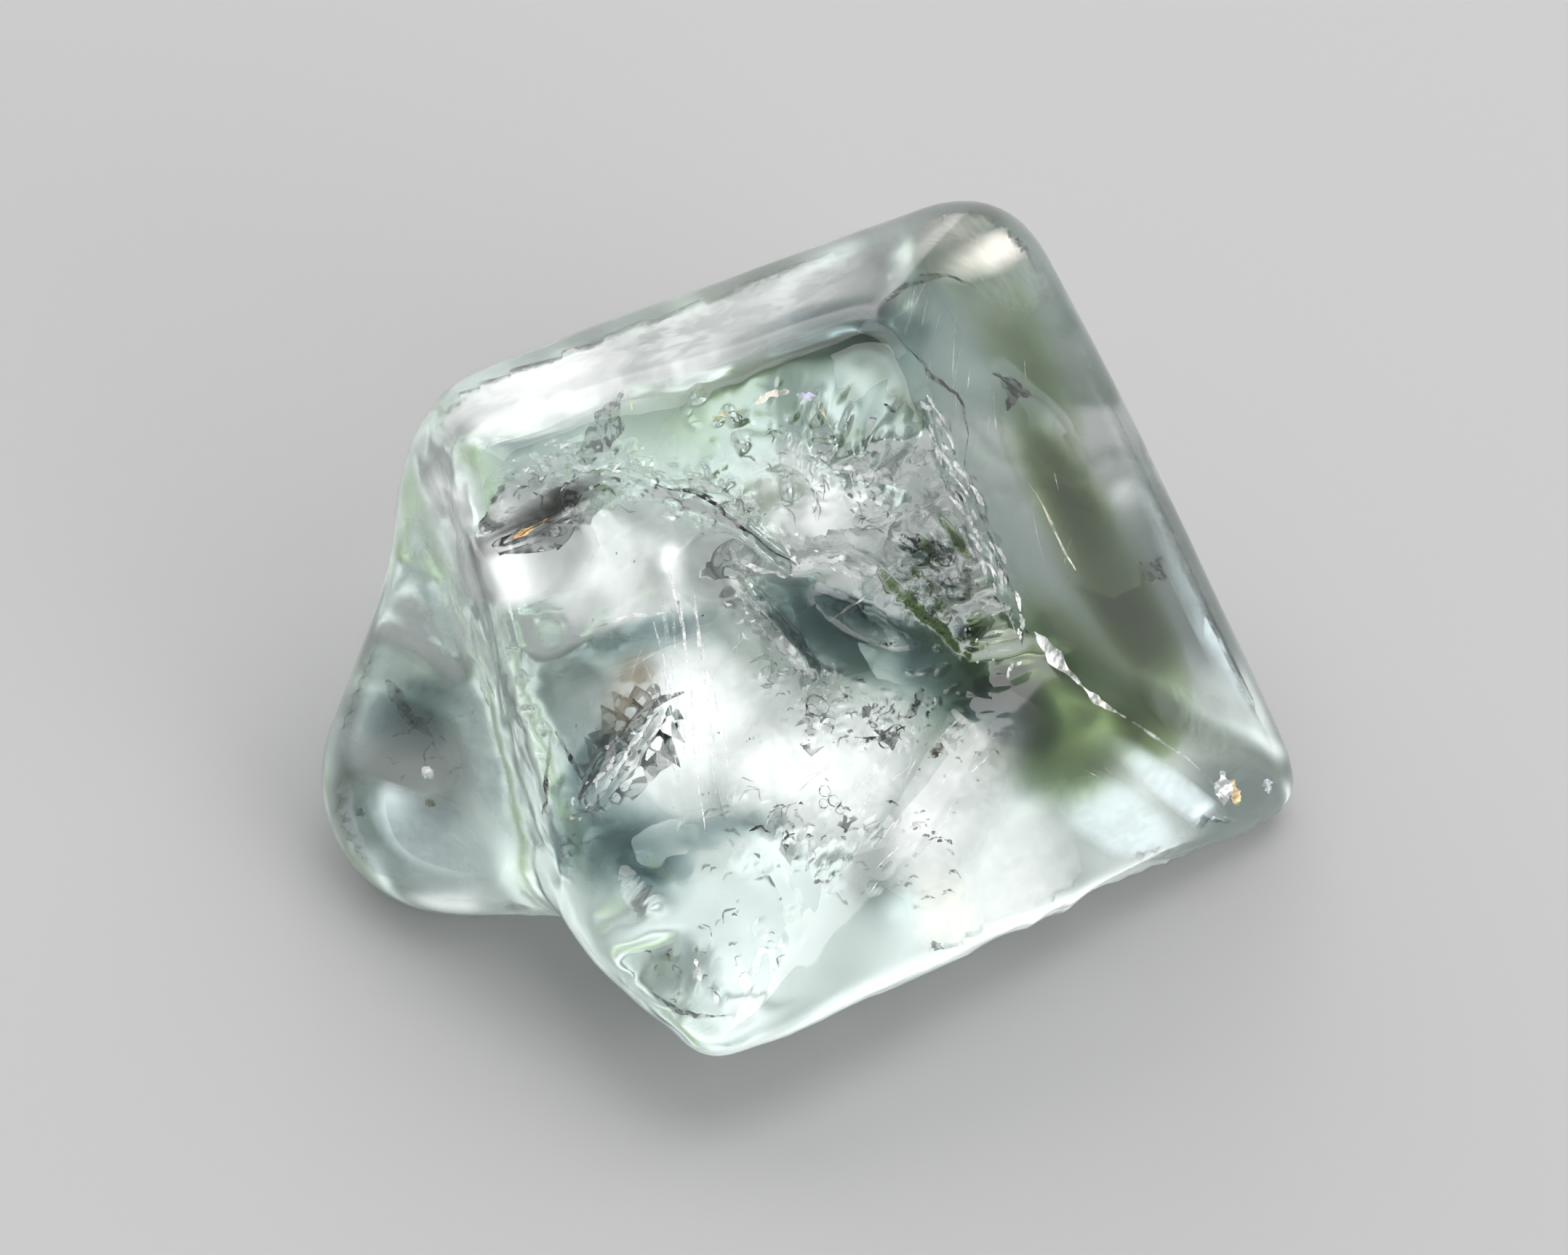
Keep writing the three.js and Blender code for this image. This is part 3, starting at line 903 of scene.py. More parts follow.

# %% [markdown]
# ## Clouds and veils
# Old cracks that healed leave sheets of tiny bubbles: some white as milk, some grey, some stained
# olive or brown. One near-black sheet is painted shade in the slanting chip. Each is a soft-edged
# sheet. A number that falls from 1 in its middle to 0 at its rim, and the sheet's own colour, are
# kept on its points, and one material reads both.

# %% Clouds: where they are
CREAM, SKY, PALE = (0.95, 0.93, 0.84), (0.72, 0.84, 0.86), (0.80, 0.92, 0.80)
PEARL, BROWN, ASH = (0.84, 0.87, 0.86), (0.42, 0.33, 0.17), (0.2, 0.22, 0.22)

# u, v, half length, half width, turn, depth, strength, lace, colour
CLOUDS_AND_CHIP_SHADE = [
    (2.4, 5.9, 1.7, 1.0, -62, 0.9, 0.5, 0.1, PALE),
    (1.7, 6.6, 0.8, 0.45, 15, 0.5, 0.7, 0.2, CREAM),
    (-3.85, -1.25, 0.9, 0.5, 65, 0.4, 0.9, 0.5, BROWN),
    (6.3, 0.6, 3.6, 0.7, -64, 0.6, 0.6, 0.1, SKY),
    (-6.4, -2.4, 1.9, 0.5, -65, 0.7, 0.6, 0.4, SKY),
    (-7.2, 0.4, 0.8, 1.5, 10, 0.5, 0.6, 0.3, SKY),
    (-7.6, -4.0, 1.5, 0.8, -20, 0.7, 0.6, 0.3, SKY),
    (-1.4, -0.4, 1.7, 0.5, -48, 0.3, 0.5, 0.9, ASH),
    (1.7, 0.9, 1.4, 0.9, -50, 0.4, 0.45, 0.9, ASH),
    (-5.0, 2.2, 1.5, 0.6, 25, 0.4, 0.4, 0.9, ASH),
    # painted shade: a near-black sheet in the slanting chip
    (-5.3, 1.75, 1.3, 0.3, 31, 0.3, 1.0, 0.3, (0.05, 0.04, 0.03)),
    (5.8, -1.7, 1.2, 0.5, -50, 0.9, 0.5, 0.2, PALE),
]

# Turn and slope of the lights that a bare crack can mirror
FRONT, RIGHT_BACK, LEFT_BACK = (-45, 46), (62, 46), (128, 46)

# Cleavage cracks: as above, then the light that each one catches
CLEAVAGES = [
    (-5.5, 4.0, 1.9, 0.9, 14, 0.9, 1.2, 0.15, PEARL, *LEFT_BACK),
    (-3.3, 4.7, 1.8, 0.9, 24, 1.0, 0.7, 0.4, PEARL, *LEFT_BACK),
    (-1.2, 5.6, 1.6, 0.8, 20, 0.9, 0.6, 0.3, PEARL, *LEFT_BACK),
    (2.2, 6.2, 1.0, 0.4, 18, 0.7, 1.2, 0.1, CREAM, *RIGHT_BACK),
    (-5.7, 1.0, 1.3, 0.8, 20, 1.2, 1.8, 0.0, PEARL, *FRONT),
    (-4.0, 0.9, 2.2, 1.3, -5, 1.7, 1.25, 0.1, PEARL, *FRONT),
    (-2.9, -2.0, 2.3, 1.5, 20, 1.9, 1.2, 0.1, PEARL, *FRONT),
    (-0.2, -2.6, 2.2, 1.5, 15, 2.2, 1.2, 0.15, PEARL, *FRONT),
    (-0.5, 1.8, 1.7, 1.0, -25, 1.2, 0.9, 0.45, PEARL, *FRONT),
    (2.4, -4.6, 1.5, 1.9, 15, 1.6, 0.6, 0.1, PEARL, *FRONT),
    (1.8, -3.1, 2.0, 0.9, 60, 1.1, 0.8, 0.2, PEARL, *FRONT),
    (1.5, -5.0, 0.6, 1.2, 10, 1.3, 0.6, 0.3, CREAM, *FRONT),
    (4.3, -3.4, 1.6, 0.6, -30, 1.3, 0.7, 0.2, SKY, *FRONT),
    (5.2, 3.2, 2.6, 0.8, -64, 0.8, 1.1, 0.1, SKY, *RIGHT_BACK),
    (6.3, 0.4, 2.4, 0.7, -64, 0.7, 1.3, 0.1, SKY, *RIGHT_BACK),
    (5.5, -3.0, 1.6, 0.3, -38, 0.5, 0.9, 0.2, SKY, *FRONT),
    (-6.9, 1.9, 0.7, 1.4, 0, 0.7, 0.9, 0.2, PEARL, *LEFT_BACK),
    (-7.7, -3.8, 1.7, 0.8, -18, 0.8, 0.9, 0.2, SKY, *FRONT),
    (-8.4, -1.4, 0.6, 1.3, -10, 0.7, 0.6, 0.2, SKY, *FRONT),
]

# how a sheet is made: points across, wave, fray of its rim, least depth, and how it fades
SHEET_ROWS = 21
SHEET_WAVE, SHEET_WAVE_SIZE = 0.04, 0.9
SHEET_FRAY, SHEET_FRAY_SIZE = 0.22, 0.8
LEAST_DEPTH, FADE_START, FADE_WIDTH, RIM_WIDTH = 0.08, 0.8, 0.7, 0.3


# %% Clouds: their sheets
LEAST_LEAN = 0.2  # how far at least a sheet faces a ray, so that it isn't drawn out


def paint_colour(piece, name, colours):
    """Keep one colour for each point of a mesh."""
    attribute = piece.data.attributes.new(name, "FLOAT_COLOR", "POINT")
    rgba = np.concatenate([colours, np.ones((len(colours), 1))], axis=1)
    attribute.data.foreach_set("color", rgba.astype(np.float32).ravel())


def facing_light(entry, ray, normal, middle, deep, turn, slope):
    """Depths that lay points flat, so that the sheet mirrors a light into the eye: its normal is
    halfway between the sight line turned back and the line to the light, both inside the stone."""
    to_light = -bend_in(-direction(turn, slope)[None], normal[middle][None])[0]
    half_way = unit(to_light - ray[middle])
    centre = entry[middle] + deep * ray[middle]
    return ((centre - entry) @ half_way) / np.minimum(ray @ half_way, -LEAST_LEAN)


def sheets(name, places, material):
    """Ovals drawn on the face and sunk; s and t run from -1 to 1 along and across each one.
    A sheet follows the skin above it, or lies flat where it has a light to catch."""
    side = np.linspace(-1, 1, SHEET_ROWS)
    s, t = np.meshgrid(side, side, indexing="ij")
    middle = s.size // 2
    points, fade, lace, tint = [], [], [], []
    for k, (cu, cv, long, wide, turn, deep, strength, lacy, colour, *light) in enumerate(places):
        u, v = turned(long * s, wide * t, turn)
        u, v = cu + u, cv + v
        entry, ray, normal, room, true = look_in(u, v)
        depth = np.full(s.size, deep)
        if light:
            depth = facing_light(entry, ray, normal, middle, deep, *light)
        else:
            depth = depth + SHEET_WAVE * rough_noise(u, v, SHEET_WAVE_SIZE, 2, 40 + k).ravel()
        points.append(entry + np.clip(depth, LEAST_DEPTH, room)[:, None] * ray)
        out = np.hypot(s, t)
        frayed = out + SHEET_FRAY * rough_noise(u, v, SHEET_FRAY_SIZE, 3, 60 + k)
        soft = ramp((FADE_START - frayed) / FADE_WIDTH) * ramp((1 - out) / RIM_WIDTH)
        fade.append(strength * soft.ravel() * true)
        lace.append(np.full(s.size, lacy))
        tint.append(np.broadcast_to(colour, (s.size, 3)))
    faces = grid_faces(len(places), SHEET_ROWS, SHEET_ROWS)
    piece = piece_inside(name, np.concatenate(points), faces, material)
    paint(piece, "lace", np.array(lace).ravel())
    paint(piece, "fade", np.array(fade).ravel())
    paint_colour(piece, "tint", np.array(tint).reshape(-1, 3))


# %% Clouds: their finish
VEIL_GRAINS, VEIL_COVER = 1500.0, 0.75


def veil_material(name, metallic, roughness):
    """Alpha: fade, times the growth texture where the sheet is lacy, times soft noise where it
    isn't. The colour's change by fine noise is stronger on a veil than on a silvery crack."""
    material, tree, veil = new_material(name)
    grown = wisps(tree, VEIL_GRAINS, VEIL_COVER)
    lace = painted(tree, "lace")
    lively = maths(tree, "MULTIPLY_ADD", grown["Fine"], 0.5 - 0.4 * metallic, 0.75 + 0.2 * metallic)
    colour_by_points(tree, veil, lively)
    cloudy = maths(tree, "MULTIPLY_ADD", grown["Soft"], 0.5, 0.5)
    soft = maths(tree, "MULTIPLY", maths(tree, "SUBTRACT", 1.0, lace), cloudy)
    body = maths(tree, "MULTIPLY_ADD", grown["Mask"], lace, soft)
    tree.links.new(maths(tree, "MULTIPLY", painted(tree, "fade"), body), veil["Alpha"])
    veil["Metallic"].default_value = metallic
    veil["Roughness"].default_value = roughness
    veil["Specular IOR Level"].default_value = 0.0
    return material


sheets("clouds", CLOUDS_AND_CHIP_SHADE, veil_material("milky veil and painted shade", 0.0, 0.6))
sheets("cleavages", CLEAVAGES, veil_material("silvery crack", 1.0, 0.28))

# %% [markdown]
# ## Cracks, scratches and crescents
# Knocks leave fine marks: dark hairline cracks, white scratches, and crescents where a point was
# pressed in. Dark strips also serve as painted shade: rings for the dark rims of small bubbles,
# and lines in the slanting chip, the slot and along the ledge. Each mark is a thin strip drawn
# along a path, widest in its middle and pointed at both ends, sunk just under the skin.

# %% Marks: the strip
SLANT, LEAST_MARK_DEPTH = 0.4, 0.02
SHAKE_SIZE, RAGGED, RAGGED_SIZE = 0.35, 0.7, 0.6
LEAST_WIDTH, MOST_WIDTH, TIP = 0.25, 2, 0.02


def wander(path, rows, seed, roughness):
    """Even steps along a path of points, shaken sideways by noise."""
    path = np.array(path, dtype=float)
    lengths = np.r_[0, np.cumsum(np.hypot(*np.diff(path, axis=0).T))]
    t = np.linspace(0, lengths[-1], rows)
    u, v = np.interp(t, lengths, path[:, 0]), np.interp(t, lengths, path[:, 1])
    shake = roughness * rough_noise(t + 3.1 * seed, np.full_like(t, 1.7 * seed), SHAKE_SIZE, 3, seed)
    across = np.stack([-np.gradient(v), np.gradient(u)])
    across = across / np.maximum(np.hypot(*across), 1e-9)
    return u + shake * across[0], v + shake * across[1], across


def strips(name, marks, material, depth, rows, roughness, light=None):
    """marks are (path, width, strength, colour); a strip's half width is the square root of a
    sine, made ragged by noise. With a light, each strip is laid so that it mirrors that light,
    otherwise it slants down into the stone."""
    u, v, slant, fade, tint = [], [], [], [], []
    t = np.linspace(0, 1, rows)
    for seed, (path, width, strength, colour) in enumerate(marks):
        mu, mv, across = wander(path, rows, seed, roughness)
        noise = rough_noise(4 * t + seed, np.full(rows, 0.3 * seed), RAGGED_SIZE, 2, seed)
        ragged = np.clip(1 + RAGGED * noise, LEAST_WIDTH, MOST_WIDTH)
        half = width / 2 * np.sqrt(np.sin(np.pi * np.clip(t, TIP, 1 - TIP))) * ragged
        offset = np.array([-1, 0, 1.0])
        u.append(mu[:, None] + across[0][:, None] * half[:, None] * offset)
        v.append(mv[:, None] + across[1][:, None] * half[:, None] * offset)
        slant.append(np.broadcast_to(SLANT * width * (offset + 1), (rows, 3)))
        fade.append(np.full((rows, 3), strength))
        tint.append(np.broadcast_to(colour, (rows, 3, 3)))
    entry, ray, normal, room, true = look_in(np.array(u), np.array(v))
    deep = depth + np.array(slant).ravel()
    if light:
        n = rows * 3
        each = zip(*(part.reshape(-1, n, 3) for part in (entry, ray, normal)))
        deep = np.concatenate([facing_light(*parts, n // 2, depth, *light) for parts in each])
    points = entry + np.clip(deep, LEAST_MARK_DEPTH, room)[:, None] * ray
    piece = piece_inside(name, points, grid_faces(len(marks), rows, 3), material)
    paint(piece, "fade", np.array(fade).ravel() * true)
    paint_colour(piece, "tint", np.array(tint).reshape(-1, 3))


# %% Marks: cracks that are drawn one by one
BLACK, SNOW = (0.02, 0.025, 0.025), (0.95, 0.97, 0.97)
SQUARES_PER_MM, HEART_X, HEART_Y = 80, 1182, 862


def squares(points):
    """Face coordinates of places given on squared paper, counted right and down."""
    return [((x - HEART_X) / SQUARES_PER_MM, (HEART_Y - y) / SQUARES_PER_MM) for x, y in points]


def ring(x, y, radius):
    """The rim of a small bubble, in ten steps."""
    turns = [math.tau * k / 10 for k in range(11)]
    return squares([(x + radius * math.cos(a), y + radius * math.sin(a)) for a in turns])


def drawn(rows):
    """Marks as strips() wants them: path, width, strength, colour."""
    return [(squares(path), width, strength, colour) for *path, width, strength, colour in rows]


# places on the path, width in millimetres, strength, colour
CRACKS_AND_SHADE_LINES = [
    # painted shade: a near-black sliver in the slanting chip
    ((684, 768), (750, 728), (830, 680), 0.2, 1.0, (0.03, 0.025, 0.02)),
    ((806, 640), (840, 606), (860, 556), 0.42, 0.8, ASH),
    ((1208, 442), (1255, 405), (1301, 391), (1348, 412), 0.1, 0.9, (0.06, 0.08, 0.03)),
    ((1194, 449), (1241, 484), (1269, 517), (1320, 559), (1339, 610), (1329, 661), 0.07, 1.0, BLACK),
    ((1329, 661), (1352, 720), (1380, 790), (1407, 858), 0.05, 0.8, ASH),
    ((1372, 526), (1399, 549), (1428, 558), 0.22, 1.0, BLACK),
    ((1403, 543), (1388, 580), 0.22, 1.0, BLACK),
    # painted shade: a black strip in the slot hollow
    ((1240, 756), (1272, 768), (1304, 788), 0.24, 1.0, BLACK),
    ((1222, 570), (1232, 586), 0.08, 1.0, BLACK),
    ((1582, 816), (1594, 800), (1606, 780), 0.36, 1.0, (0.05, 0.07, 0.05)),
    # painted shade: a dark line along the step of the ledge
    ((888, 680), (930, 690), (980, 700), (1020, 740), (1060, 770), (1100, 792), 0.09, 1.0, BLACK),
    ((766, 1020), (758, 1070), (755, 1134), 0.07, 1.0, BLACK),
    ((770, 1020), (790, 1060), (808, 1090), 0.06, 1.0, BLACK),
    ((802, 1114), (830, 1050), (890, 990), (946, 966), 0.2, 0.9, ASH),
    ((806, 1104), (838, 1046), (886, 996), 0.06, 1.0, BLACK),
    ((1250, 1000), (1262, 984), (1276, 964), 0.16, 1.0, BLACK),
    ((1036, 1158), (1050, 1150), (1064, 1160), 0.05, 1.0, BLACK),
    ((1180, 1026), (1215, 1030), (1248, 1012), 0.1, 1.0, BLACK),
    ((1286, 1056), (1292, 1048), (1298, 1036), 0.16, 1.0, (0.12, 0.09, 0.03)),
    ((534, 950), (560, 990), (600, 1030), 0.2, 0.8, (0.06, 0.07, 0.07)),
    ((545, 1030), (575, 1010), (606, 1000), 0.12, 0.7, ASH),
    ((590, 1116), (602, 1124), 0.14, 0.9, (0.3, 0.3, 0.14)),
    ((492, 1130), (504, 1138), 0.12, 0.9, (0.1, 0.25, 0.24)),
    ((1286, 1308), (1302, 1320), 0.12, 0.8, (0.12, 0.2, 0.26)),
    ((1048, 858), (1090, 895), (1124, 922), (1176, 946), 0.08, 0.8, ASH),
    ((905, 1372), (925, 1395), (965, 1410), (1015, 1410), 0.07, 0.9, ASH),
]

# x, y, radius, width, colour of the painted dark rims of small bubbles: the shade a bubble shows at
# its edge
BUBBLE_SHADE_RIMS = [
    (1130, 985, 15, 0.035, BLACK),
    (1122, 990, 8, 0.025, ASH),
    (1140, 1100, 7, 0.022, ASH),
    (1150, 1112, 9, 0.022, ASH),
    (1136, 1118, 6, 0.02, ASH),
    (1160, 1126, 7, 0.02, ASH),
    (1235, 1020, 9, 0.03, BLACK),
    (1222, 1034, 7, 0.025, BLACK),
]

# Bright marks: bare crack walls that mirror the front light
GLINTS = [
    ((1024, 788), (1050, 800), (1078, 803), (1102, 794), 0.16, 1.0, SNOW),
    ((586, 1070), (602, 1086), 0.16, 0.9, SNOW),
    ((1425, 884), (1462, 930), (1488, 954), 0.18, 1.0, SNOW),
    ((1476, 946), (1515, 980), (1552, 1003), 0.12, 1.0, (1.0, 0.97, 0.85)),
    ((1560, 1008), (1640, 1058), (1700, 1120), 0.04, 0.5, SNOW),
    ((1689, 1076), (1692, 1124), 0.26, 1.0, SNOW),
    ((1703, 1088), (1710, 1126), 0.2, 1.0, (1.0, 0.72, 0.38)),
    ((1750, 1088), (1756, 1108), 0.2, 0.8, (0.8, 0.9, 1.0)),
    ((1420, 680), (1450, 735), (1482, 800), 0.04, 0.8, (0.95, 0.9, 0.7)),
    ((1300, 292), (1304, 312), 0.12, 0.9, SNOW),
    ((706, 760), (735, 744), (760, 730), 0.1, 1.0, (1.0, 0.55, 0.2)),
    ((1040, 574), (1062, 560), (1090, 556), 0.12, 0.9, (1.0, 0.93, 0.8)),
    ((1100, 560), (1130, 566), 0.1, 0.9, (0.8, 0.75, 1.0)),
    ((1128, 570), (1150, 610), 0.07, 0.7, (1.0, 0.9, 0.6)),
    ((985, 592), (1020, 582), 0.06, 0.9, (1.0, 0.75, 0.35)),
    ((870, 560), (876, 580), 0.04, 1.0, (0.7, 0.8, 0.3)),
    ((664, 950), (676, 985), 0.07, 0.9, (0.75, 1.0, 0.9)),
    ((674, 946), (686, 975), 0.05, 0.9, (1.0, 0.7, 0.85)),
    ((955, 960), (962, 1060), (975, 1160), 0.03, 0.8, SNOW),
    ((972, 900), (980, 1010), (990, 1110), 0.025, 0.7, SNOW),
    ((935, 950), (948, 1040), 0.025, 0.7, SNOW),
    ((938, 830), (952, 930), (968, 1050), 0.045, 0.8, SNOW),
    ((958, 820), (972, 930), (990, 1060), 0.04, 0.8, SNOW),
    ((905, 870), (930, 970), (950, 1060), 0.04, 0.7, SNOW),
    ((925, 800), (940, 860), (950, 920), 0.06, 0.7, SNOW),
    ((1145, 868), (1185, 842), (1228, 812), 0.03, 0.8, SNOW),
    ((820, 880), (870, 862), (930, 858), 0.06, 0.7, SNOW),
    ((962, 1330), (968, 1360), 0.12, 0.8, (1.0, 0.95, 0.93)),
]


# %% Marks: scratches and crescents scattered by chance
def scattered(seed, patches):
    """Marks inside ovals, each bent at its middle, with size, turn and tone by chance."""
    rng = np.random.default_rng(seed)
    marks = []
    for *zone, count, length, width, lean, spread_turn, bend, colour, strength in patches:
        for _ in range(count):
            mu, mv = chance_place(rng, *zone)
            size = length * (0.35 + 1.1 * rng.random() ** 2)
            aim = math.radians(lean + spread_turn * (2 * rng.random() - 1))
            du, dv = size / 2 * math.cos(aim), size / 2 * math.sin(aim)
            sag = bend * size * (0.5 + rng.random())
            top = mu - sag * math.sin(aim), mv + sag * math.cos(aim)
            path = [(mu - du, mv - dv), top, (mu + du, mv + dv)]
            tone = 0.75 + 0.5 * rng.random()
            tint = tuple(min(1.0, x * tone) for x in colour)
            wide = width * (0.6 + 0.8 * rng.random())
            marks.append((path, wide, strength * (0.5 + 0.5 * rng.random()), tint))
    return marks


# u, v, half length, half width, turn, count, then for the marks: length, width, turn, spread of
# turn, bend, colour, strength
SCRATCH_ZONES = [
    (-3.0, -1.4, 2.0, 0.7, -76, 26, 1.3, 0.022, -77, 9, 0.01, SNOW, 0.8),
    (-1.2, -2.2, 3.0, 2.0, -30, 20, 0.9, 0.02, 60, 40, 0.02, SNOW, 0.6),
    (0.9, -3.2, 1.8, 0.9, -130, 30, 0.6, 0.022, 52, 14, 0.02, SNOW, 0.8),
    (1.9, 3.9, 2.2, 0.5, -64, 12, 1.1, 0.018, 78, 16, 0.02, SNOW, 0.6),
    (3.2, 2.6, 2.2, 0.8, -64, 5, 0.9, 0.016, 85, 30, 0.02, SNOW, 0.5),
    (4.6, -2.9, 2.0, 0.4, -38, 6, 0.7, 0.016, -34, 12, 0.02, SNOW, 0.5),
    (2.0, 1.7, 2.3, 0.22, -68, 60, 0.34, 0.06, -66, 14, 0.04, SNOW, 0.9),
    (-1.2, 1.25, 1.9, 0.2, -26, 36, 0.2, 0.045, -30, 30, 0.08, SNOW, 0.9),
    (-4.7, 2.6, 1.4, 0.45, 8, 40, 0.2, 0.05, 15, 40, 0.08, SNOW, 0.9),
    (2.4, -0.4, 0.7, 0.5, -60, 24, 0.16, 0.04, 60, 60, 0.1, SNOW, 0.9),
    (-1.4, -0.5, 1.4, 0.3, -48, 24, 0.14, 0.04, 0, 180, 0.2, SNOW, 0.9),
    (-4.3, -2.6, 1.2, 0.25, 56, 20, 0.22, 0.05, 50, 60, 0.2, SNOW, 0.9),
]
CRESCENT_ZONES = [
    (0.2, -4.0, 1.7, 1.0, -15, 60, 0.22, 0.045, 10, 50, 0.2, BLACK, 0.9),
    (-1.7, -3.8, 1.2, 0.8, 0, 26, 0.28, 0.04, 0, 70, 0.3, BLACK, 0.9),
    (-0.5, -1.5, 1.2, 0.5, -35, 36, 0.2, 0.045, -30, 80, 0.3, BLACK, 0.8),
    (1.5, 0.3, 0.9, 0.6, -50, 44, 0.24, 0.055, -50, 80, 0.3, BLACK, 0.8),
    (2.0, 1.7, 2.3, 0.28, -68, 60, 0.3, 0.04, -66, 20, 0.05, BLACK, 0.9),
    (0.3, 2.3, 1.5, 1.0, -30, 40, 0.22, 0.04, -40, 60, 0.15, ASH, 0.9),
    (-3.0, 2.1, 1.3, 0.3, -16, 40, 0.24, 0.045, -20, 60, 0.25, BLACK, 0.8),
    (-4.9, 2.4, 1.2, 0.5, 10, 30, 0.26, 0.045, 20, 80, 0.25, BLACK, 0.8),
    (-1.2, 2.5, 1.9, 1.0, -20, 40, 0.3, 0.035, -40, 70, 0.2, ASH, 0.8),
    (-2.4, -5.9, 1.5, 0.8, 20, 36, 0.24, 0.04, 10, 80, 0.3, ASH, 0.9),
    (-7.4, -1.9, 0.9, 1.0, 0, 18, 0.3, 0.05, 30, 80, 0.2, ASH, 0.6),
    (1.6, -1.6, 1.2, 0.8, -40, 26, 0.24, 0.04, -40, 80, 0.3, BLACK, 0.7),
    (-4.5, -3.2, 1.2, 0.3, 58, 30, 0.26, 0.045, 60, 60, 0.2, BLACK, 0.8),
    (1.1, -1.6, 0.35, 0.25, 50, 16, 0.12, 0.05, 50, 60, 0.2, BLACK, 1.0),
    (0.9, -0.5, 0.6, 0.1, -8, 14, 0.08, 0.04, 0, 60, 0.2, BLACK, 1.0),
    (-1.4, -1.5, 4.0, 3.6, 0, 70, 0.06, 0.045, 0, 180, 0.1, BLACK, 0.9),
]

# %% Marks: their finish, and the four pieces
MARK_GRAINS, MARK_COVER, MARK_ROUGHNESS = 5200.0, 0.8, 0.35


def mark_material(name, metallic):
    """The wall of a thin crack, and the dark strips of painted shade: ragged by the growth texture,
    nowhere quite clear.
    """
    material, tree, mark = new_material(name)
    grown = wisps(tree, MARK_GRAINS, MARK_COVER)
    colour_by_points(tree, mark, maths(tree, "MULTIPLY_ADD", grown["Fine"], 1.2, 0.4))
    body = maths(tree, "MULTIPLY_ADD", grown["Mask"], 0.7, 0.3)
    tree.links.new(maths(tree, "MULTIPLY", painted(tree, "fade"), body), mark["Alpha"])
    mark["Metallic"].default_value = metallic
    mark["Roughness"].default_value = MARK_ROUGHNESS
    return material


dark, bright = mark_material("dark crack wall and painted shade", 0.0), mark_material("bright crack wall", 1.0)
# the bubbles' dark rims are painted shade
bubble_shade_rims = [(ring(x, y, radius), width, 1.0, colour) for x, y, radius, width, colour in BUBBLE_SHADE_RIMS]
strips("cracks", drawn(CRACKS_AND_SHADE_LINES) + bubble_shade_rims, dark, depth=0.06, rows=24, roughness=0.05)
strips("scratches", scattered(5, SCRATCH_ZONES), bright, depth=0.06, rows=6, roughness=0.01,
       light=FRONT)
strips("glints", drawn(GLINTS), bright, depth=0.12, rows=16, roughness=0.02, light=FRONT)
strips("crescents", scattered(6, CRESCENT_ZONES), dark, depth=0.05, rows=8, roughness=0.02)

# %% [markdown]
# ## Floor, lights and camera
# The stone lies on a pale floor under large soft boxes. Clear stone shows mostly what is around
# it, so the surroundings are pale as well, and each box is broad and not much brighter: a strong
# low one in front on the right, one above it, one overhead, and three behind for the far walls.

# %% Floor
FLOOR_SIZE, FLOOR_GAP = 0.6, 0.00002
corners = np.array([(-0.5, -0.5, 0), (0.5, -0.5, 0), (0.5, 0.5, 0), (-0.5, 0.5, 0)])
corners = corners * FLOOR_SIZE - (0, 0, FLOOR_GAP)
floor = make_piece("floor", corners / MM, [(0, 1, 2, 3)], smooth=False)
paper, _, shader = new_material("pale floor")
shader["Base Color"].default_value = (0.55, 0.55, 0.55, 1)
shader["Roughness"].default_value = 0.9
floor.data.materials.append(paper)

# %% Lights
SKY_COLOUR = (0.41, 0.435, 0.43, 1)
LAMP_COLOUR = (1.0, 0.955, 0.97)
BOX_DISTANCE = 0.36

# name: turn, slope, width and height in metres, how bright it looks
SOFT_BOXES = {
    "low front box": (-45, 16, 0.24, 0.19, 3.0),
    "front box": (*FRONT, 0.20, 0.20, 1.5),
    "back box": (112, 16, 0.42, 0.19, 1.75),
    "left back box": (*LEFT_BACK, 0.24, 0.20, 1.55),
    "right back box": (*RIGHT_BACK, 0.30, 0.20, 1.1),
    "top box": (20, 78, 0.22, 0.26, 1.9),
}

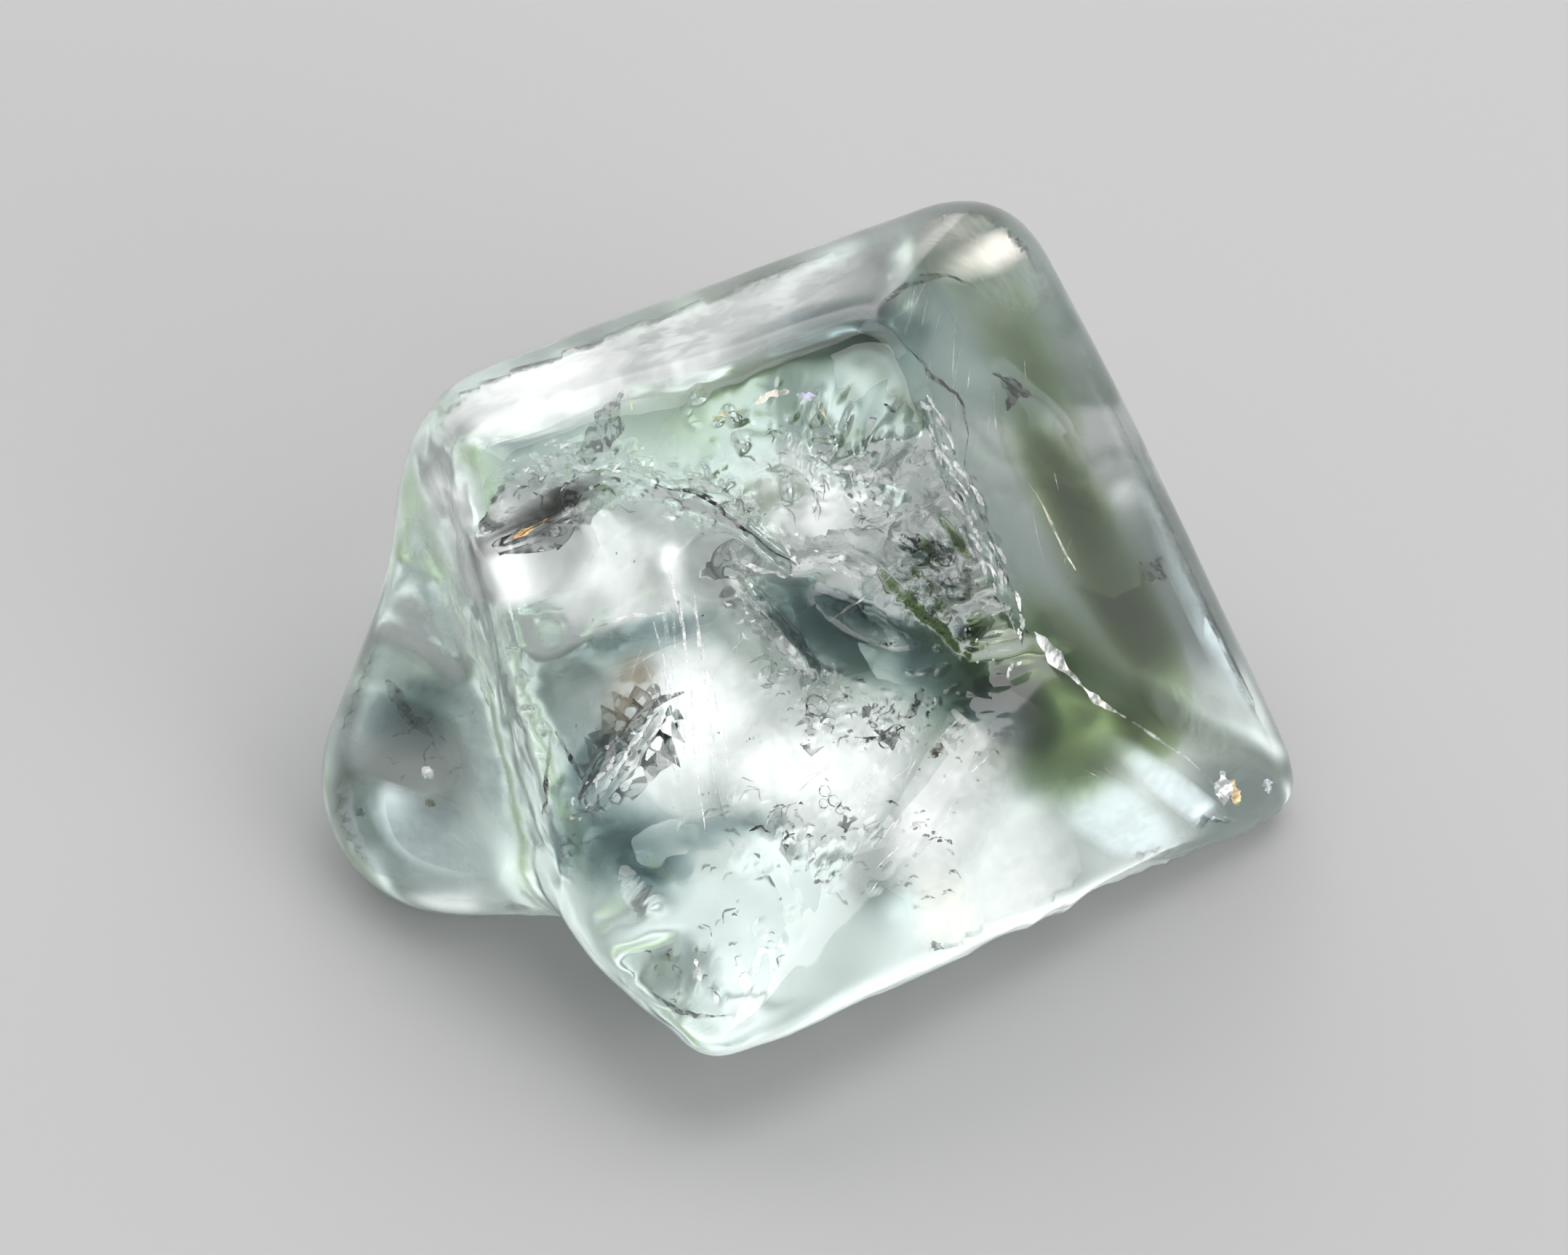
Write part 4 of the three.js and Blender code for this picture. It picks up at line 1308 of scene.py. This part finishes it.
world = bpy.data.worlds.new("studio")
world.use_nodes = True
world.node_tree.nodes["Background"].inputs["Color"].default_value = SKY_COLOUR
bpy.context.scene.world = world
for name, (turn, slope, width, height, radiance) in SOFT_BOXES.items():
    light = bpy.data.lights.new(name, "AREA")
    light.shape = "RECTANGLE"
    light.size, light.size_y = width, height
    light.energy = radiance * math.pi * width * height
    light.color = LAMP_COLOUR
    lamp = bpy.data.objects.new(name, light)
    place = direction(turn, slope)
    lamp.location = place * BOX_DISTANCE
    lamp.rotation_euler = Vector(-place).to_track_quat("-Z", "Y").to_euler()
    bpy.context.collection.objects.link(lamp)
    print(name, round(light.energy, 3), "W")
bpy.context.scene.view_settings.view_transform = "Standard"

# %% Camera
CAMERA_DISTANCE, SENSOR_WIDTH = 0.4, 36
FRAME_WIDTH = 2156  # pixels
PIXEL, CLOSER = 0.0125 * MM, 1.008  # what one pixel covers, and how much it is drawn in
AIM_RIGHT, AIM_UP, AIM_NEAR = -1.24, -0.2, 4.4  # from the heart, in millimetres
aim = (HEART + (AIM_RIGHT, 0, 0) + AIM_UP * VIEW_UP + AIM_NEAR * VIEW_DIRECTION) * MM
camera_data = bpy.data.cameras.new("camera")
camera_data.sensor_width = SENSOR_WIDTH
camera_data.lens = SENSOR_WIDTH * CAMERA_DISTANCE / (FRAME_WIDTH * (PIXEL / CLOSER))
camera_data.clip_start, camera_data.clip_end = 0.01, 5
camera = bpy.data.objects.new("camera", camera_data)
camera.location = aim + VIEW_DIRECTION * CAMERA_DISTANCE
camera.rotation_euler = (math.radians(90 - VIEW_SLOPE), 0, 0)
bpy.context.collection.objects.link(camera)
scene = bpy.context.scene
scene.camera = camera

# light paths: enough to cross the stone and the sheets inside it, and no more
scene.cycles.max_bounces = 11
scene.cycles.transmission_bounces = 11
scene.cycles.glossy_bounces = 6
scene.cycles.diffuse_bounces = 2
scene.cycles.transparent_max_bounces = 32
scene.cycles.use_light_tree = False
print("lens:", round(camera_data.lens, 1), "mm, looking down at", VIEW_SLOPE, "degrees")
